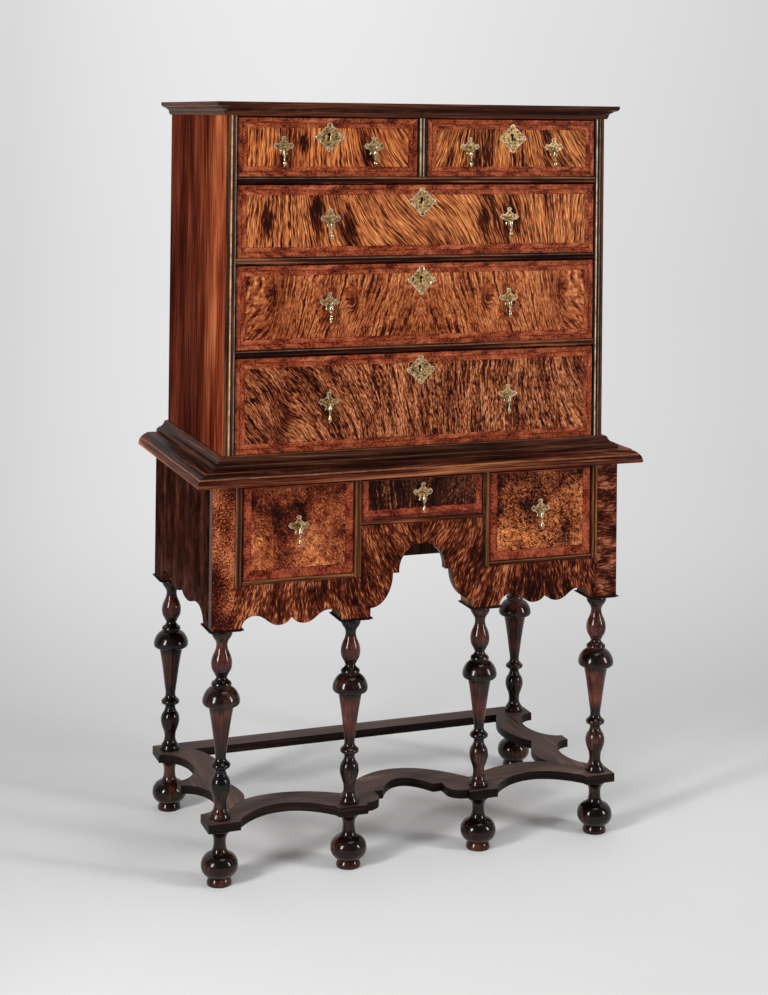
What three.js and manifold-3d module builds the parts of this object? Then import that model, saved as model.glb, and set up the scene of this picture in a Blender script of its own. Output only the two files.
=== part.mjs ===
// A walnut high chest of drawers: a five-drawer upper case on a three-drawer lower case, which stands on
// six turned legs, flat shaped stretchers and ball feet. Lengths are millimetres. +X is the right as seen
// from the front, -Y is the front and +Z is up. The origin is on the floor, in the middle of the footprint.

import * as THREE from 'three';
import { mergeVertices } from 'three/addons/utils/BufferGeometryUtils.js';
import Module from 'manifold-3d';

const wasm = await Module();
wasm.setup();

// Clearances
const gap = 0.3;
const weld = 0.0005;
const overrun = 5;
const mouldingLap = 3;

// Upper case
const upperWidth = 860;
const upperDepth = 468;
const upperSideThickness = 18;
const upperStileWidth = 23;
const upperStileDepth = 20;
const upperBackThickness = 10;
const upperBottomThickness = 25;
const upperTopThickness = 20;
const topRailHeight = 10;
const railHeight = 15;
const railDepth = 60;
const topDividerWidth = 20;
const lowOpeningHeight = 198;
const middleOpeningHeight = 174;
const highOpeningHeight = 151;
const topOpeningHeight = 124;

// Lower case: as wide as the foot of the waist moulding
const waistProjection = 27;
const lowerWidth = upperWidth + waistProjection * 2;
const lowerDepth = 492;
const lowerBoardThickness = 20;
const lowerBackThickness = 15;
const sideSkirtHeight = 95.5;
const lowerTopRailHeight = 8;
const sideOpeningHeight = 190;
const centreOpeningHeight = 86;
const sideOpeningWidth = 240;
const lowerDividerWidth = 16;
const middleBlockClearance = 2.5;
const cornerBlockHeight = 120;

// Runners and guides
const runnerThickness = 15;
const runnerWidth = 20;
const guideHeight = 20;

// Table board between the cases
const tableThickness = 28;
const tableOverhang = 41.5;

// Mouldings
const corniceProjection = 25;
const corniceHeight = 28;
const beadProud = 3;
const beadSeat = 4;
const singleBeadHeight = 9;
const archSteps = 3;
const bowSteps = 5;

// Drawers
const drawerFrontThickness = 20;
const drawerRecess = 1;
const drawerSideGap = 1.5;
const drawerTopGap = 2;
const drawerWall = 12;
const drawerBottom = 8;
const drawerSideDrop = 6;
const drawerBackRoom = 8;
const keyholeBelowTop = 32;
const keyholeRadius = 3;
const keyholeSlotWidth = 3.4;
const keyholeSlotLength = 11;
const lockWidth = 62;
const lockHeight = 40;
const lockThickness = 9;
const keyholeDepth = 24;

// Drop pulls
const pullSpreadShare = 0.25;
const highPullLift = 2;
const middlePullLift = 6;
const basePullLift = 9;
const stapleWire = 1.2;
const stapleReach = 9;
const stapleSpan = 8;
const stapleRoot = 10;
const dropEyeRadius = 3;
const dropEyeWidth = 4.4;
const dropNeck = 2;
const dropLength = 41;
const dropRadius = 4.2;
const dropSides = 6;
const wireSides = 6;

// Legs and feet
const legInset = 32;
const innerLegOffset = 147;
const legHeight = 388;
const legCapThickness = 5;
const legCapOverhang = 4;
const legCupRadius = 38.6;
const tenonRadius = 9;
const topTenonLength = 40;
const footTenonLength = 30;
const turningSides = 12;
const tenonSides = 8;
const footHeight = 114;
const footBallRadius = 37.6;

// Stretchers
const stretcherThickness = 18;
const stretcherWidth = 60;
const cornerPadHalf = 36;
const quirkDepth = 12;
const quirkWidth = 3;
const outerBayBow = 68;
const centreBayBow = 124;
const innerPadDepth = 82;
const shoulderReach = 38;
const shoulderDepth = 44;
const shoulderSetback = 26;
const shoulderStep = 20;
const cornerMitreIn = 107;
const cornerMitreBack = 115;
const sideBow = 54;
const sideTipHalf = 15;
const sideCuspDepth = 84;
const rearInnerIn = 85;
const backStretcherWidth = 50;

// Scalloped skirts
const archCrest = 24;
const archLobe = 1;
const archCusp = 21;
const sideCrest = 30;
const sideLobe = 15;
const sideCusp = 32;
const centreShoulderLow = 19;
const centreShoulderHigh = 88;
const centreShoulderWidth = 14;
const centreArchRise = 145;
const centreArchRadius = 52;

// Levels, from the floor up
const footTop = footHeight;
const stretcherBottom = footTop + gap;
const stretcherTop = stretcherBottom + stretcherThickness;
const legBottom = stretcherTop + gap;
const legTop = legBottom + legHeight;
const caseBottom = legTop + gap;
const lowerTop = caseBottom + sideSkirtHeight + sideOpeningHeight + lowerTopRailHeight;
const tableBottom = lowerTop + gap;
const tableTop = tableBottom + tableThickness;
const upperBottom = tableTop + gap;
const waistTop = upperBottom + upperBottomThickness;
const upperOpenings = [lowOpeningHeight, middleOpeningHeight, highOpeningHeight, topOpeningHeight];
const openingLevels = upperOpenings.map((height, index) => {
  const below = upperOpenings.slice(0, index).reduce((sum, each) => sum + each + railHeight, 0);
  return { floor: waistTop + below, ceiling: waistTop + below + height };
});
const topRailBottom = openingLevels[openingLevels.length - 1].ceiling;
const topBoardBottom = topRailBottom + topRailHeight;
const overallHeight = topBoardBottom + upperTopThickness;
const corniceBottom = overallHeight - corniceHeight;

// Plan positions: the footprint runs from the table board's front edge to the cups of the rear legs.
const rearReach = legCupRadius - legInset;
const overallDepth = tableOverhang + lowerDepth + rearReach;
const backFace = overallDepth / 2 - rearReach;
const lowerFront = backFace - lowerDepth;
const upperFront = backFace - upperDepth;
const upperHalf = upperWidth / 2;
const upperInner = upperHalf - upperSideThickness;
const openingHalf = upperHalf - upperStileWidth;
const upperBackPlane = backFace - upperBackThickness;
const railBack = upperFront + railDepth;
const lowerHalf = lowerWidth / 2;
const lowerInner = lowerHalf - lowerBoardThickness;
const apronBack = lowerFront + lowerBoardThickness;
const lowerBackPlane = backFace - lowerBackThickness;
const padWidth = legInset * 2;
const sideOpeningOuter = lowerHalf - padWidth;
const sideOpeningInner = sideOpeningOuter - sideOpeningWidth;
const centreOpeningHalf = sideOpeningInner - lowerDividerWidth;
const lowerOpeningTop = lowerTop - lowerTopRailHeight;
const sideOpeningFloor = lowerOpeningTop - sideOpeningHeight;
const sideRunnerBottom = sideOpeningFloor - runnerThickness;
const middleBlockTop = sideRunnerBottom - middleBlockClearance;
const centreOpeningFloor = lowerOpeningTop - centreOpeningHeight;
const legX = lowerHalf - legInset;
const frontLegY = lowerFront + legInset;
const rearLegY = backFace - legInset;

// Finishes: colour, roughness and metalness
const finishes = {
  walnut: [0x5a2f1c, 0.4, 0],
  darkWalnut: [0x38201a, 0.4, 0],
  burl: [0x8a4a26, 0.35, 0],
  ebonised: [0x22120e, 0.25, 0],
  innerWood: [0x8f6b47, 0.75, 0],
  brass: [0xb59a63, 0.35, 1],
};

// Turn a closed geometry into a solid that can be joined and cut.
function solidOf(geometry) {
  const bare = geometry.index ? geometry.toNonIndexed() : geometry.clone();
  bare.deleteAttribute('normal');
  bare.deleteAttribute('uv');
  const merged = mergeVertices(bare, weld);
  const vertProperties = merged.attributes.position.array;
  const triVerts = new Uint32Array(merged.index.array);
  return new wasm.Manifold(new wasm.Mesh({ numProp: 3, vertProperties, triVerts }));
}

// A box between two corners.
function box(x0, x1, y0, y1, z0, z1) {
  const geometry = new THREE.BoxGeometry(x1 - x0, y1 - y0, z1 - z0);
  return solidOf(geometry.translate((x0 + x1) / 2, (y0 + y1) / 2, (z0 + z1) / 2));
}

// A box that is the same on both sides of the centre plane.
function centredBox(half, y0, y1, z0, z1) {
  return box(-half, half, y0, y1, z0, z1);
}

// Directions of a flat board: where its outline's two axes and its thickness point.
const axisX = new THREE.Vector3(1, 0, 0);
const axisY = new THREE.Vector3(0, 1, 0);
const axisZ = new THREE.Vector3(0, 0, 1);
const towardsFront = axisY.clone().negate();
const boardFrames = {
  front: new THREE.Matrix4().makeBasis(axisX, axisZ, towardsFront),
  side: new THREE.Matrix4().makeBasis(axisY, axisZ, axisX),
  plan: new THREE.Matrix4(),
};

// A board cut from an outline: front boards lie in XZ, side boards in YZ and plan boards in XY.
function board(outline, facing, from, to, steps = archSteps) {
  const options = { depth: to - from, bevelEnabled: false, curveSegments: steps };
  const geometry = new THREE.ExtrudeGeometry(outline, options).applyMatrix4(boardFrames[facing]);
  if (facing === 'front') geometry.translate(0, to, 0);
  if (facing === 'side') geometry.translate(from, 0, 0);
  if (facing === 'plan') geometry.translate(0, 0, from);
  return solidOf(geometry);
}

// A turned solid on a vertical axis, from [radius, height] pairs that start and end on the axis.
function turned(profile, sides, x = 0, y = 0) {
  const points = profile.map(([radius, height]) => new THREE.Vector2(radius, height));
  return solidOf(new THREE.LatheGeometry(points, sides).rotateX(Math.PI / 2).translate(x, y, 0));
}

// A round rod along Z.
function rod(radius, from, to, x = 0, y = 0) {
  return turned([[0, from], [radius, from], [radius, to], [0, to]], tenonSides, x, y);
}

function joined(solids) {
  return solids.reduce((all, each) => all.add(each));
}

// The mesh of a solid.
function geometryOf(solid) {
  const mesh = solid.getMesh();
  const geometry = new THREE.BufferGeometry();
  geometry.setAttribute('position', new THREE.BufferAttribute(mesh.vertProperties, mesh.numProp));
  return geometry.setIndex(new THREE.BufferAttribute(mesh.triVerts, 1));
}

// The mirror image of a solid across the chest's centre plane, with its faces turned round.
function mirrored(solid) {
  const geometry = geometryOf(solid).scale(-1, 1, 1);
  geometry.index.array.reverse();
  return solidOf(geometry);
}

// A solid and its mirror image.
function symmetric(half) {
  return half.add(mirrored(half));
}

// Bend a path through a quarter of an ellipse: it leaves along one axis and arrives along the other.
const quarterShare = 0.5523;
function quarter(path, x, y, leavesAlong) {
  const start = path.currentPoint.clone();
  const reachX = (x - start.x) * quarterShare;
  const reachY = (y - start.y) * quarterShare;
  if (leavesAlong === 'x') path.bezierCurveTo(start.x + reachX, start.y, x, y - reachY, x, y);
  else path.bezierCurveTo(start.x, start.y + reachY, x - reachX, y, x, y);
}

// Bend a path to a level crest, or away from one. The crest is level along the axis that the bend runs along.
const bowShare = 0.52;
function toCrest(path, x, y, along) {
  const { x: startX, y: startY } = path.currentPoint;
  if (along === 'x') path.quadraticCurveTo(x + (startX - x) * bowShare, y, x, y);
  else path.quadraticCurveTo(x, y + (startY - y) * bowShare, x, y);
}

function fromCrest(path, x, y, along) {
  const { x: startX, y: startY } = path.currentPoint;
  if (along === 'x') path.quadraticCurveTo(startX + (x - startX) * bowShare, startY, x, y);
  else path.quadraticCurveTo(startX, startY + (y - startY) * bowShare, x, y);
}

// Bend a path through an S that is level at both ends.
const easeShare = 0.42;
function ease(path, x, y) {
  const start = path.currentPoint.clone();
  const reach = (x - start.x) * easeShare;
  path.bezierCurveTo(start.x + reach, start.y, x - reach, y, x, y);
}

// A scalloped lower edge between two pads: crest, lobe, sharp cusp, lobe and crest.
const crestShare = 0.13;
const lobeShare = 0.37;
function scallop(path, from, to, base, crest, lobe, cusp) {
  const span = to - from;
  quarter(path, from + span * crestShare, base + crest, 'y');
  ease(path, from + span * lobeShare, base + lobe);
  quarter(path, from + span / 2, base + cusp, 'x');
  quarter(path, to - span * lobeShare, base + lobe, 'y');
  ease(path, to - span * crestShare, base + crest);
  quarter(path, to, base, 'x');
}

// The section of an applied bead: one or two half-rounds side by side on a flat seat.
function beadSection(width, arches) {
  const section = new THREE.Shape();
  const half = width / arches / 2;
  section.moveTo(0, -beadSeat);
  section.lineTo(width, -beadSeat);
  section.lineTo(width, 0);
  for (let index = arches - 1; index >= 0; index -= 1) {
    section.absellipse(half * (index * 2 + 1), 0, half, beadProud, 0, Math.PI, false);
  }
  section.closePath();
  return section;
}

const uprightBeadFrame = new THREE.Matrix4().makeBasis(axisX, towardsFront, axisZ.clone().negate());
const levelBeadFrame = new THREE.Matrix4().makeBasis(axisZ, towardsFront, axisX);

function uprightBead(x0, x1, front, z0, z1, arches = 2) {
  const options = { depth: z1 - z0, bevelEnabled: false, curveSegments: archSteps };
  const geometry = new THREE.ExtrudeGeometry(beadSection(x1 - x0, arches), options);
  return solidOf(geometry.applyMatrix4(uprightBeadFrame).translate(x0, front, z1));
}

function levelBead(x0, x1, front, z0, z1, arches = 2) {
  const options = { depth: x1 - x0, bevelEnabled: false, curveSegments: archSteps };
  const geometry = new THREE.ExtrudeGeometry(beadSection(z1 - z0, arches), options);
  return solidOf(geometry.applyMatrix4(levelBeadFrame).translate(x0, front, z0));
}

// A moulding's outline in millimetres, from shares of its projection and of its height.
function placed(shares, projection, bottom, height) {
  return shares.map(([out, up]) => [out * projection, bottom + up * height]);
}

// Carry a moulding's section round the left side, the front and the right side, with mitred corners.
// The section is a closed list of [projection, height] pairs, anticlockwise with the projection to the right.
function carriedRound(section, half, front) {
  const stations = [
    (out) => [-half - out, backFace],
    (out) => [-half - out, front - out],
    (out) => [half + out, front - out],
    (out) => [half + out, backFace],
  ];
  const rings = stations.map((place) => section.map(([out, height]) => [...place(out), height]));
  const outline = section.map(([out, height]) => new THREE.Vector2(out, height));
  const corners = [];
  const face = (...points) => corners.push(...points.flat());
  const [first, last] = [rings[0], rings[rings.length - 1]];
  rings.slice(1).forEach((far, index) => {
    const near = rings[index];
    section.forEach((pair, point) => {
      const next = (point + 1) % section.length;
      face(near[point], far[next], near[next]);
      face(near[point], far[point], far[next]);
    });
  });
  for (const [a, b, c] of THREE.ShapeUtils.triangulateShape(outline, [])) {
    face(first[a], first[b], first[c]);
    face(last[a], last[c], last[b]);
  }
  const geometry = new THREE.BufferGeometry();
  geometry.setAttribute('position', new THREE.Float32BufferAttribute(corners, 3));
  return solidOf(geometry);
}

// Each piece of the chest, by name.
const chest = new THREE.Group();

function addPiece(name, solid, finish, parent = chest) {
  const geometry = geometryOf(solid);
  geometry.computeVertexNormals();
  const [color, roughness, metalness] = finishes[finish];
  const piece = new THREE.Mesh(geometry, new THREE.MeshStandardMaterial({ color, roughness, metalness }));
  piece.name = name;
  parent.add(piece);
  return piece;
}

// Upper side board: a stile at its front edge, with a double bead, and the runners and guides inside.
function upperSide() {
  const beadInner = openingHalf;
  const beadOuter = openingHalf + railHeight;
  const sideTop = topBoardBottom - gap;
  const pieces = [
    box(upperInner, upperHalf, upperFront, backFace, upperBottom, sideTop),
    box(openingHalf, upperInner + gap, upperFront, upperFront + upperStileDepth, upperBottom, sideTop),
    uprightBead(beadInner, beadOuter, upperFront, waistTop + gap, corniceBottom - gap),
  ];
  openingLevels.forEach(({ floor }, index) => {
    const guideBottom = index ? floor - gap : floor + gap;
    const guideTop = floor + guideHeight;
    const [runnerFront, runnerBack] = [railBack + gap, upperBackPlane - gap];
    pieces.push(box(openingHalf, upperInner + gap, runnerFront, runnerBack, guideBottom, guideTop));
    if (index) {
      const [runnerInner, runnerBottom] = [openingHalf - runnerWidth, floor - runnerThickness];
      pieces.push(box(runnerInner, upperInner + gap, runnerFront, runnerBack, runnerBottom, floor));
    }
  });
  return joined(pieces);
}

// Bottom board of the upper case, with the stepped waist moulding round its front and sides.
const waistShares = [
  [1, 0], [1, 0.26], [0.82, 0.3], [0.78, 0.4], [0.66, 0.44],
  [0.5, 0.55], [0.4, 0.72], [0.3, 0.93], [0.16, 1],
];
function upperBottomBoard() {
  const section = placed(waistShares, waistProjection, upperBottom, upperBottomThickness);
  section.push([gap, waistTop], [gap, upperBottom]);
  const lapFront = upperFront - gap - mouldingLap;
  const stileBack = upperFront + upperStileDepth + gap;
  return joined([
    carriedRound(section, upperHalf, upperFront),
    centredBox(openingHalf - gap, lapFront, stileBack + overrun, upperBottom, waistTop),
    centredBox(upperInner - gap, stileBack, upperBackPlane - gap, upperBottom, waistTop),
  ]);
}

// Top board with the rail over the top drawers and the cornice round its front and sides.
const corniceShares = [
  [0.2, 0], [0.24, 0.14], [0.3, 0.3], [0.42, 0.44], [0.56, 0.52],
  [0.6, 0.58], [0.78, 0.62], [0.94, 0.72], [1, 0.82], [1, 1],
];
function upperTopBoard() {
  const section = placed(corniceShares, corniceProjection, corniceBottom, corniceHeight);
  section.push([-overrun, overallHeight], [-overrun, topBoardBottom]);
  section.push([gap, topBoardBottom], [gap, corniceBottom]);
  return joined([
    carriedRound(section, upperHalf, upperFront),
    centredBox(upperHalf, upperFront, backFace, topBoardBottom, overallHeight),
    centredBox(openingHalf - gap, upperFront, railBack, topRailBottom, topBoardBottom + gap),
  ]);
}

// A rail between two drawer openings, with a double bead along its front.
function upperRail(level) {
  const half = openingHalf - gap;
  return joined([
    centredBox(half, upperFront, railBack, level.ceiling, level.ceiling + railHeight),
    levelBead(-half, half, upperFront, level.ceiling, level.ceiling + railHeight),
  ]);
}

// The topmost rail also carries the post between the two top drawers and the runner behind it.
function dividedRail(level) {
  const half = topDividerWidth / 2;
  const floor = level.ceiling + railHeight;
  const postTop = topRailBottom - gap;
  const runnerHalf = half + runnerWidth;
  return joined([
    upperRail(level),
    centredBox(half, upperFront, upperFront + upperStileDepth, floor - gap, postTop),
    uprightBead(-half, half, upperFront, floor - gap, postTop),
    centredBox(runnerHalf, railBack - overrun, upperBackPlane - gap, floor - runnerThickness, floor),
    centredBox(half, railBack - overrun, upperBackPlane - gap, floor - gap, floor + guideHeight),
  ]);
}

// Bore for the tenon on top of a leg.
function tenonBore(x, y) {
  return rod(tenonRadius + gap, caseBottom - overrun, legTop + topTenonLength + gap, x, y);
}

// Lower side board: a scalloped skirt, blocks over the corner legs and a runner for the side drawer.
function lowerSide() {
  const outline = new THREE.Shape();
  const [front, back] = [apronBack + gap, backFace];
  outline.moveTo(front, caseBottom);
  outline.lineTo(lowerFront + padWidth, caseBottom);
  scallop(outline, lowerFront + padWidth, back - padWidth, caseBottom, sideCrest, sideLobe, sideCusp);
  outline.lineTo(back, caseBottom);
  outline.lineTo(back, lowerTop);
  outline.lineTo(front, lowerTop);
  outline.closePath();
  const blockTop = caseBottom + cornerBlockHeight;
  const blockInner = lowerHalf - padWidth;
  const frontBlockBack = lowerFront + padWidth;
  const rearBlockFront = backFace - padWidth;
  const runnerInner = blockInner - runnerWidth;
  const [runnerFront, runnerBack] = [apronBack + gap, lowerBackPlane - gap];
  return joined([
    board(outline, 'side', lowerInner, lowerHalf),
    box(blockInner, lowerInner + overrun, front, frontBlockBack, caseBottom, blockTop),
    box(blockInner, lowerInner + overrun, rearBlockFront, runnerBack, caseBottom, blockTop),
    box(runnerInner, lowerInner + overrun, runnerFront, runnerBack, sideRunnerBottom, sideOpeningFloor),
  ])
    .subtract(tenonBore(legX, frontLegY))
    .subtract(tenonBore(legX, rearLegY));
}

// Right half of the front board of the lower case: the skirt's round arch, shoulder and scallop.
function apronOutline() {
  const base = caseBottom;
  const innerPad = innerLegOffset - legInset;
  const outerPad = innerLegOffset + legInset;
  const outline = new THREE.Shape();
  outline.moveTo(0, lowerTop);
  outline.lineTo(0, base + centreArchRise);
  outline.absarc(0, base + centreArchRise - centreArchRadius, centreArchRadius, Math.PI / 2, 0, true);
  outline.lineTo(centreArchRadius, base + centreShoulderHigh);
  outline.lineTo(centreArchRadius + centreShoulderWidth, base + centreShoulderHigh);
  quarter(outline, innerPad, base + centreShoulderLow, 'y');
  outline.lineTo(innerPad, base);
  outline.lineTo(outerPad, base);
  scallop(outline, outerPad, lowerHalf - padWidth, base, archCrest, archLobe, archCusp);
  outline.lineTo(lowerHalf, base);
  outline.lineTo(lowerHalf, lowerTop);
  outline.closePath();
  return outline;
}

// Front board of the lower case: three drawer openings with beads round them, and blocks over the inner legs.
function lowerApron() {
  const [cutFront, cutBack] = [lowerFront - overrun, apronBack + overrun];
  const opening = (left, right, floor) => box(left, right, cutFront, cutBack, floor, lowerOpeningTop);
  const beadFloor = sideOpeningFloor - singleBeadHeight;
  const centreBeadFloor = centreOpeningFloor - singleBeadHeight;
  const blockBack = lowerFront + padWidth;
  const [blockStart, blockEnd] = [innerLegOffset - legInset, innerLegOffset + legInset];
  const stileBeadOuter = sideOpeningOuter + lowerDividerWidth;
  return symmetric(
    joined([
      board(apronOutline(), 'front', lowerFront, apronBack)
        .subtract(opening(-overrun, centreOpeningHalf, centreOpeningFloor))
        .subtract(opening(sideOpeningInner, sideOpeningOuter, sideOpeningFloor)),
      uprightBead(sideOpeningOuter, stileBeadOuter, lowerFront, beadFloor, lowerTop),
      uprightBead(centreOpeningHalf, sideOpeningInner, lowerFront, beadFloor, lowerTop),
      levelBead(sideOpeningInner, sideOpeningOuter, lowerFront, beadFloor, sideOpeningFloor, 1),
      levelBead(0, centreOpeningHalf, lowerFront, centreBeadFloor, centreOpeningFloor, 1),
      box(blockStart, blockEnd, apronBack - overrun, blockBack, caseBottom, middleBlockTop),
    ]).subtract(tenonBore(innerLegOffset, frontLegY)),
  );
}

// A partition behind each post of the lower case, with a runner for the drawer on each side of it.
function lowerPartition() {
  const [front, back] = [apronBack + gap, lowerBackPlane - gap];
  const sideLedge = sideOpeningInner + runnerWidth;
  const centreLedge = centreOpeningHalf - runnerWidth;
  const centreRunnerBottom = centreOpeningFloor - runnerThickness;
  return joined([
    box(centreOpeningHalf, sideOpeningInner, front, back, sideRunnerBottom, lowerTop),
    box(sideOpeningInner - overrun, sideLedge, front, back, sideRunnerBottom, sideOpeningFloor),
    box(centreLedge, centreOpeningHalf + overrun, front, back, centreRunnerBottom, centreOpeningFloor),
  ]);
}

// Table board: it overhangs the lower case on three sides with a quirked thumbnail edge.
const tableShares = [
  [0.72, 0], [0.96, 0.07], [1, 0.1], [1, 0.26], [0.95, 0.5],
  [0.82, 0.75], [0.66, 0.9], [0.52, 0.94], [0.5, 1],
];
function tableBoard() {
  const section = placed(tableShares, tableOverhang, tableBottom, tableThickness);
  section.push([-overrun, tableTop], [-overrun, tableBottom]);
  return joined([
    carriedRound(section, lowerHalf, lowerFront),
    centredBox(lowerHalf, lowerFront, backFace, tableBottom, tableTop),
  ]);
}

// A leg: a cup and trumpet over an inverted vase, with a square cap, a tenon above and a tenon below.
// Each pair is the radius as a share of the cup's and the height as a share of the turned length.
const legShares = [
  [0.53, 0], [0.53, 0.025], [0.335, 0.094], [0.445, 0.142], [0.54, 0.184], [0.465, 0.225],
  [0.3, 0.258], [0.435, 0.275], [0.53, 0.291], [0.435, 0.307], [0.3, 0.333], [0.41, 0.411],
  [0.52, 0.492], [0.645, 0.575], [0.725, 0.586], [0.96, 0.598], [1, 0.607], [0.96, 0.64],
  [0.77, 0.675], [0.5, 0.698], [0.54, 0.714], [0.41, 0.73], [0.27, 0.75], [0.435, 0.785],
  [0.56, 0.825], [0.445, 0.87], [0.3, 0.915], [0.37, 0.95], [0.54, 0.967], [0.54, 1],
];
function leg() {
  const turnedTop = legTop - legCapThickness;
  const length = turnedTop - legBottom;
  const profile = legShares.map(([radius, height]) => [radius * legCupRadius, legBottom + height * length]);
  const capHalf = legInset + legCapOverhang;
  return joined([
    turned([[0, legBottom], ...profile, [0, turnedTop]], turningSides),
    box(-capHalf, capHalf, -capHalf, capHalf, turnedTop, legTop),
    rod(tenonRadius, turnedTop, legTop + topTenonLength),
    rod(tenonRadius, footTop - footTenonLength, legBottom + overrun),
  ]);
}

// A foot: a flared neck over a flattened ball and a small pad.
const footShares = [
  [0.66, 0], [0.66, 0.06], [0.55, 0.105], [0.66, 0.14], [0.88, 0.22], [1, 0.36], [0.88, 0.5], [0.6, 0.585],
  [0.42, 0.65], [0.335, 0.77], [0.4, 0.88], [0.55, 0.975], [0.55, 1],
];
function foot() {
  const profile = footShares.map(([radius, height]) => [radius * footBallRadius, height * footHeight]);
  const bore = rod(tenonRadius + gap, footTop - footTenonLength - gap, footTop + overrun);
  return turned([[0, 0], ...profile, [0, footTop]], turningSides).subtract(bore);
}

// Hole in a stretcher for the tenon that joins a leg to its foot.
function tenonHole(x, y) {
  return rod(tenonRadius + gap, stretcherBottom - overrun, stretcherTop + overrun, x, y);
}

// Front stretcher: a shaped board that bows back between the legs, with mitred ends under the corner legs.
function frontStretcher() {
  const [innerPad, outerPad] = [innerLegOffset - legInset, innerLegOffset + legInset];
  const cornerPad = legX - cornerPadHalf;
  const bayMiddle = (outerPad + cornerPad) / 2;
  const quirk = lowerFront + quirkDepth;
  const [bayFront, centreFront] = [lowerFront + outerBayBow, lowerFront + centreBayBow];
  const shoulder = innerPad - shoulderReach;
  const shoulderFront = lowerFront + shoulderDepth;
  const shoulderBack = shoulderFront + shoulderSetback;
  const outline = new THREE.Shape();
  outline.moveTo(0, centreFront);
  fromCrest(outline, shoulder - shoulderStep, shoulderBack, 'x');
  outline.lineTo(shoulder, shoulderBack);
  outline.lineTo(shoulder, shoulderFront);
  quarter(outline, innerPad, quirk, 'y');
  outline.lineTo(innerPad, lowerFront);
  outline.lineTo(outerPad, lowerFront);
  outline.lineTo(outerPad + quirkWidth, quirk);
  toCrest(outline, bayMiddle, bayFront, 'x');
  fromCrest(outline, cornerPad - quirkWidth, quirk, 'x');
  outline.lineTo(cornerPad, lowerFront);
  outline.lineTo(lowerHalf - gap, lowerFront);
  outline.lineTo(lowerHalf - cornerMitreIn - gap, lowerFront + cornerMitreBack);
  toCrest(outline, bayMiddle, bayFront + stretcherWidth, 'x');
  fromCrest(outline, innerLegOffset, lowerFront + innerPadDepth, 'x');
  toCrest(outline, 0, centreFront + stretcherWidth, 'x');
  outline.closePath();
  return symmetric(
    board(outline, 'plan', stretcherBottom, stretcherTop, bowSteps)
      .subtract(tenonHole(innerLegOffset, frontLegY))
      .subtract(tenonHole(legX, frontLegY)),
  );
}

// Side stretcher: two bows with a tip between them outside and a cusp inside, and mitred ends.
function sideStretcher() {
  const [padFront, padBack] = [lowerFront + padWidth, backFace - padWidth];
  const middle = (padFront + padBack) / 2;
  const [tipFront, tipBack] = [middle - sideTipHalf, middle + sideTipHalf];
  const [frontBow, rearBow] = [(padFront + tipFront) / 2, (padBack + tipBack) / 2];
  const bowX = lowerHalf - sideBow;
  const innerX = bowX - stretcherWidth;
  const rearInnerY = backFace - backStretcherWidth - gap;
  const outline = new THREE.Shape();
  outline.moveTo(lowerHalf, lowerFront + gap);
  outline.lineTo(lowerHalf, padFront);
  quarter(outline, bowX, frontBow, 'x');
  quarter(outline, lowerHalf, tipFront, 'y');
  outline.lineTo(lowerHalf, tipBack);
  quarter(outline, bowX, rearBow, 'x');
  quarter(outline, lowerHalf, padBack, 'y');
  outline.lineTo(lowerHalf, backFace - gap);
  outline.lineTo(lowerHalf - backStretcherWidth, rearInnerY);
  outline.lineTo(lowerHalf - rearInnerIn, rearInnerY);
  toCrest(outline, innerX, rearBow, 'y');
  fromCrest(outline, lowerHalf - sideCuspDepth, middle, 'y');
  toCrest(outline, innerX, frontBow, 'y');
  fromCrest(outline, lowerHalf - cornerMitreIn, lowerFront + cornerMitreBack + gap, 'y');
  outline.closePath();
  return board(outline, 'plan', stretcherBottom, stretcherTop, bowSteps)
    .subtract(tenonHole(legX, frontLegY))
    .subtract(tenonHole(legX, rearLegY));
}

// Back stretcher: a straight board with mitred ends.
function backStretcher() {
  const front = backFace - backStretcherWidth;
  const outline = new THREE.Shape();
  outline.moveTo(0, front);
  outline.lineTo(lowerHalf - backStretcherWidth - gap, front);
  outline.lineTo(lowerHalf - gap, backFace);
  outline.lineTo(0, backFace);
  outline.closePath();
  return symmetric(board(outline, 'plan', stretcherBottom, stretcherTop).subtract(tenonHole(legX, rearLegY)));
}

// A round wire between two points.
function wire(radius, from, to) {
  const start = new THREE.Vector3(...from);
  const end = new THREE.Vector3(...to);
  const geometry = new THREE.CylinderGeometry(radius, radius, start.distanceTo(end), wireSides);
  const direction = end.clone().sub(start).normalize();
  geometry.applyQuaternion(new THREE.Quaternion().setFromUnitVectors(axisY, direction));
  return solidOf(geometry.translate(...start.lerp(end, 1 / 2).toArray()));
}

// The wire staple that a drop hangs on: two prongs out of the drawer front and a crossbar.
function staple(x, z) {
  const [left, right] = [x - stapleSpan / 2, x + stapleSpan / 2];
  const tip = -stapleReach - stapleWire;
  return joined([
    wire(stapleWire, [left, tip, z], [left, stapleRoot, z]),
    wire(stapleWire, [right, tip, z], [right, stapleRoot, z]),
    wire(stapleWire, [left, -stapleReach, z], [right, -stapleReach, z]),
  ]);
}

// A brass drop: a pierced eye over a slender pendant with two swellings, hanging from its pivot.
const dropShares = [
  [0.25, 1], [0.7, 0.94], [0.95, 0.85], [0.85, 0.78], [0.45, 0.67],
  [0.45, 0.57], [0.85, 0.43], [1, 0.32], [0.9, 0.2],
];
function drop() {
  const half = dropEyeWidth / 2;
  const profile = dropShares.map(([radius, down]) => [radius * dropRadius, -down * dropLength]);
  const pendant = turned([[0, -dropLength], ...profile, [half, -dropNeck], [0, -dropNeck]], dropSides);
  const eye = wire(dropEyeRadius, [-half, 0, 0], [half, 0, 0]);
  const hole = wire(stapleWire + gap, [-half - overrun, 0, 0], [half + overrun, 0, 0]);
  return joined([pendant, eye]).subtract(hole);
}

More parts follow.
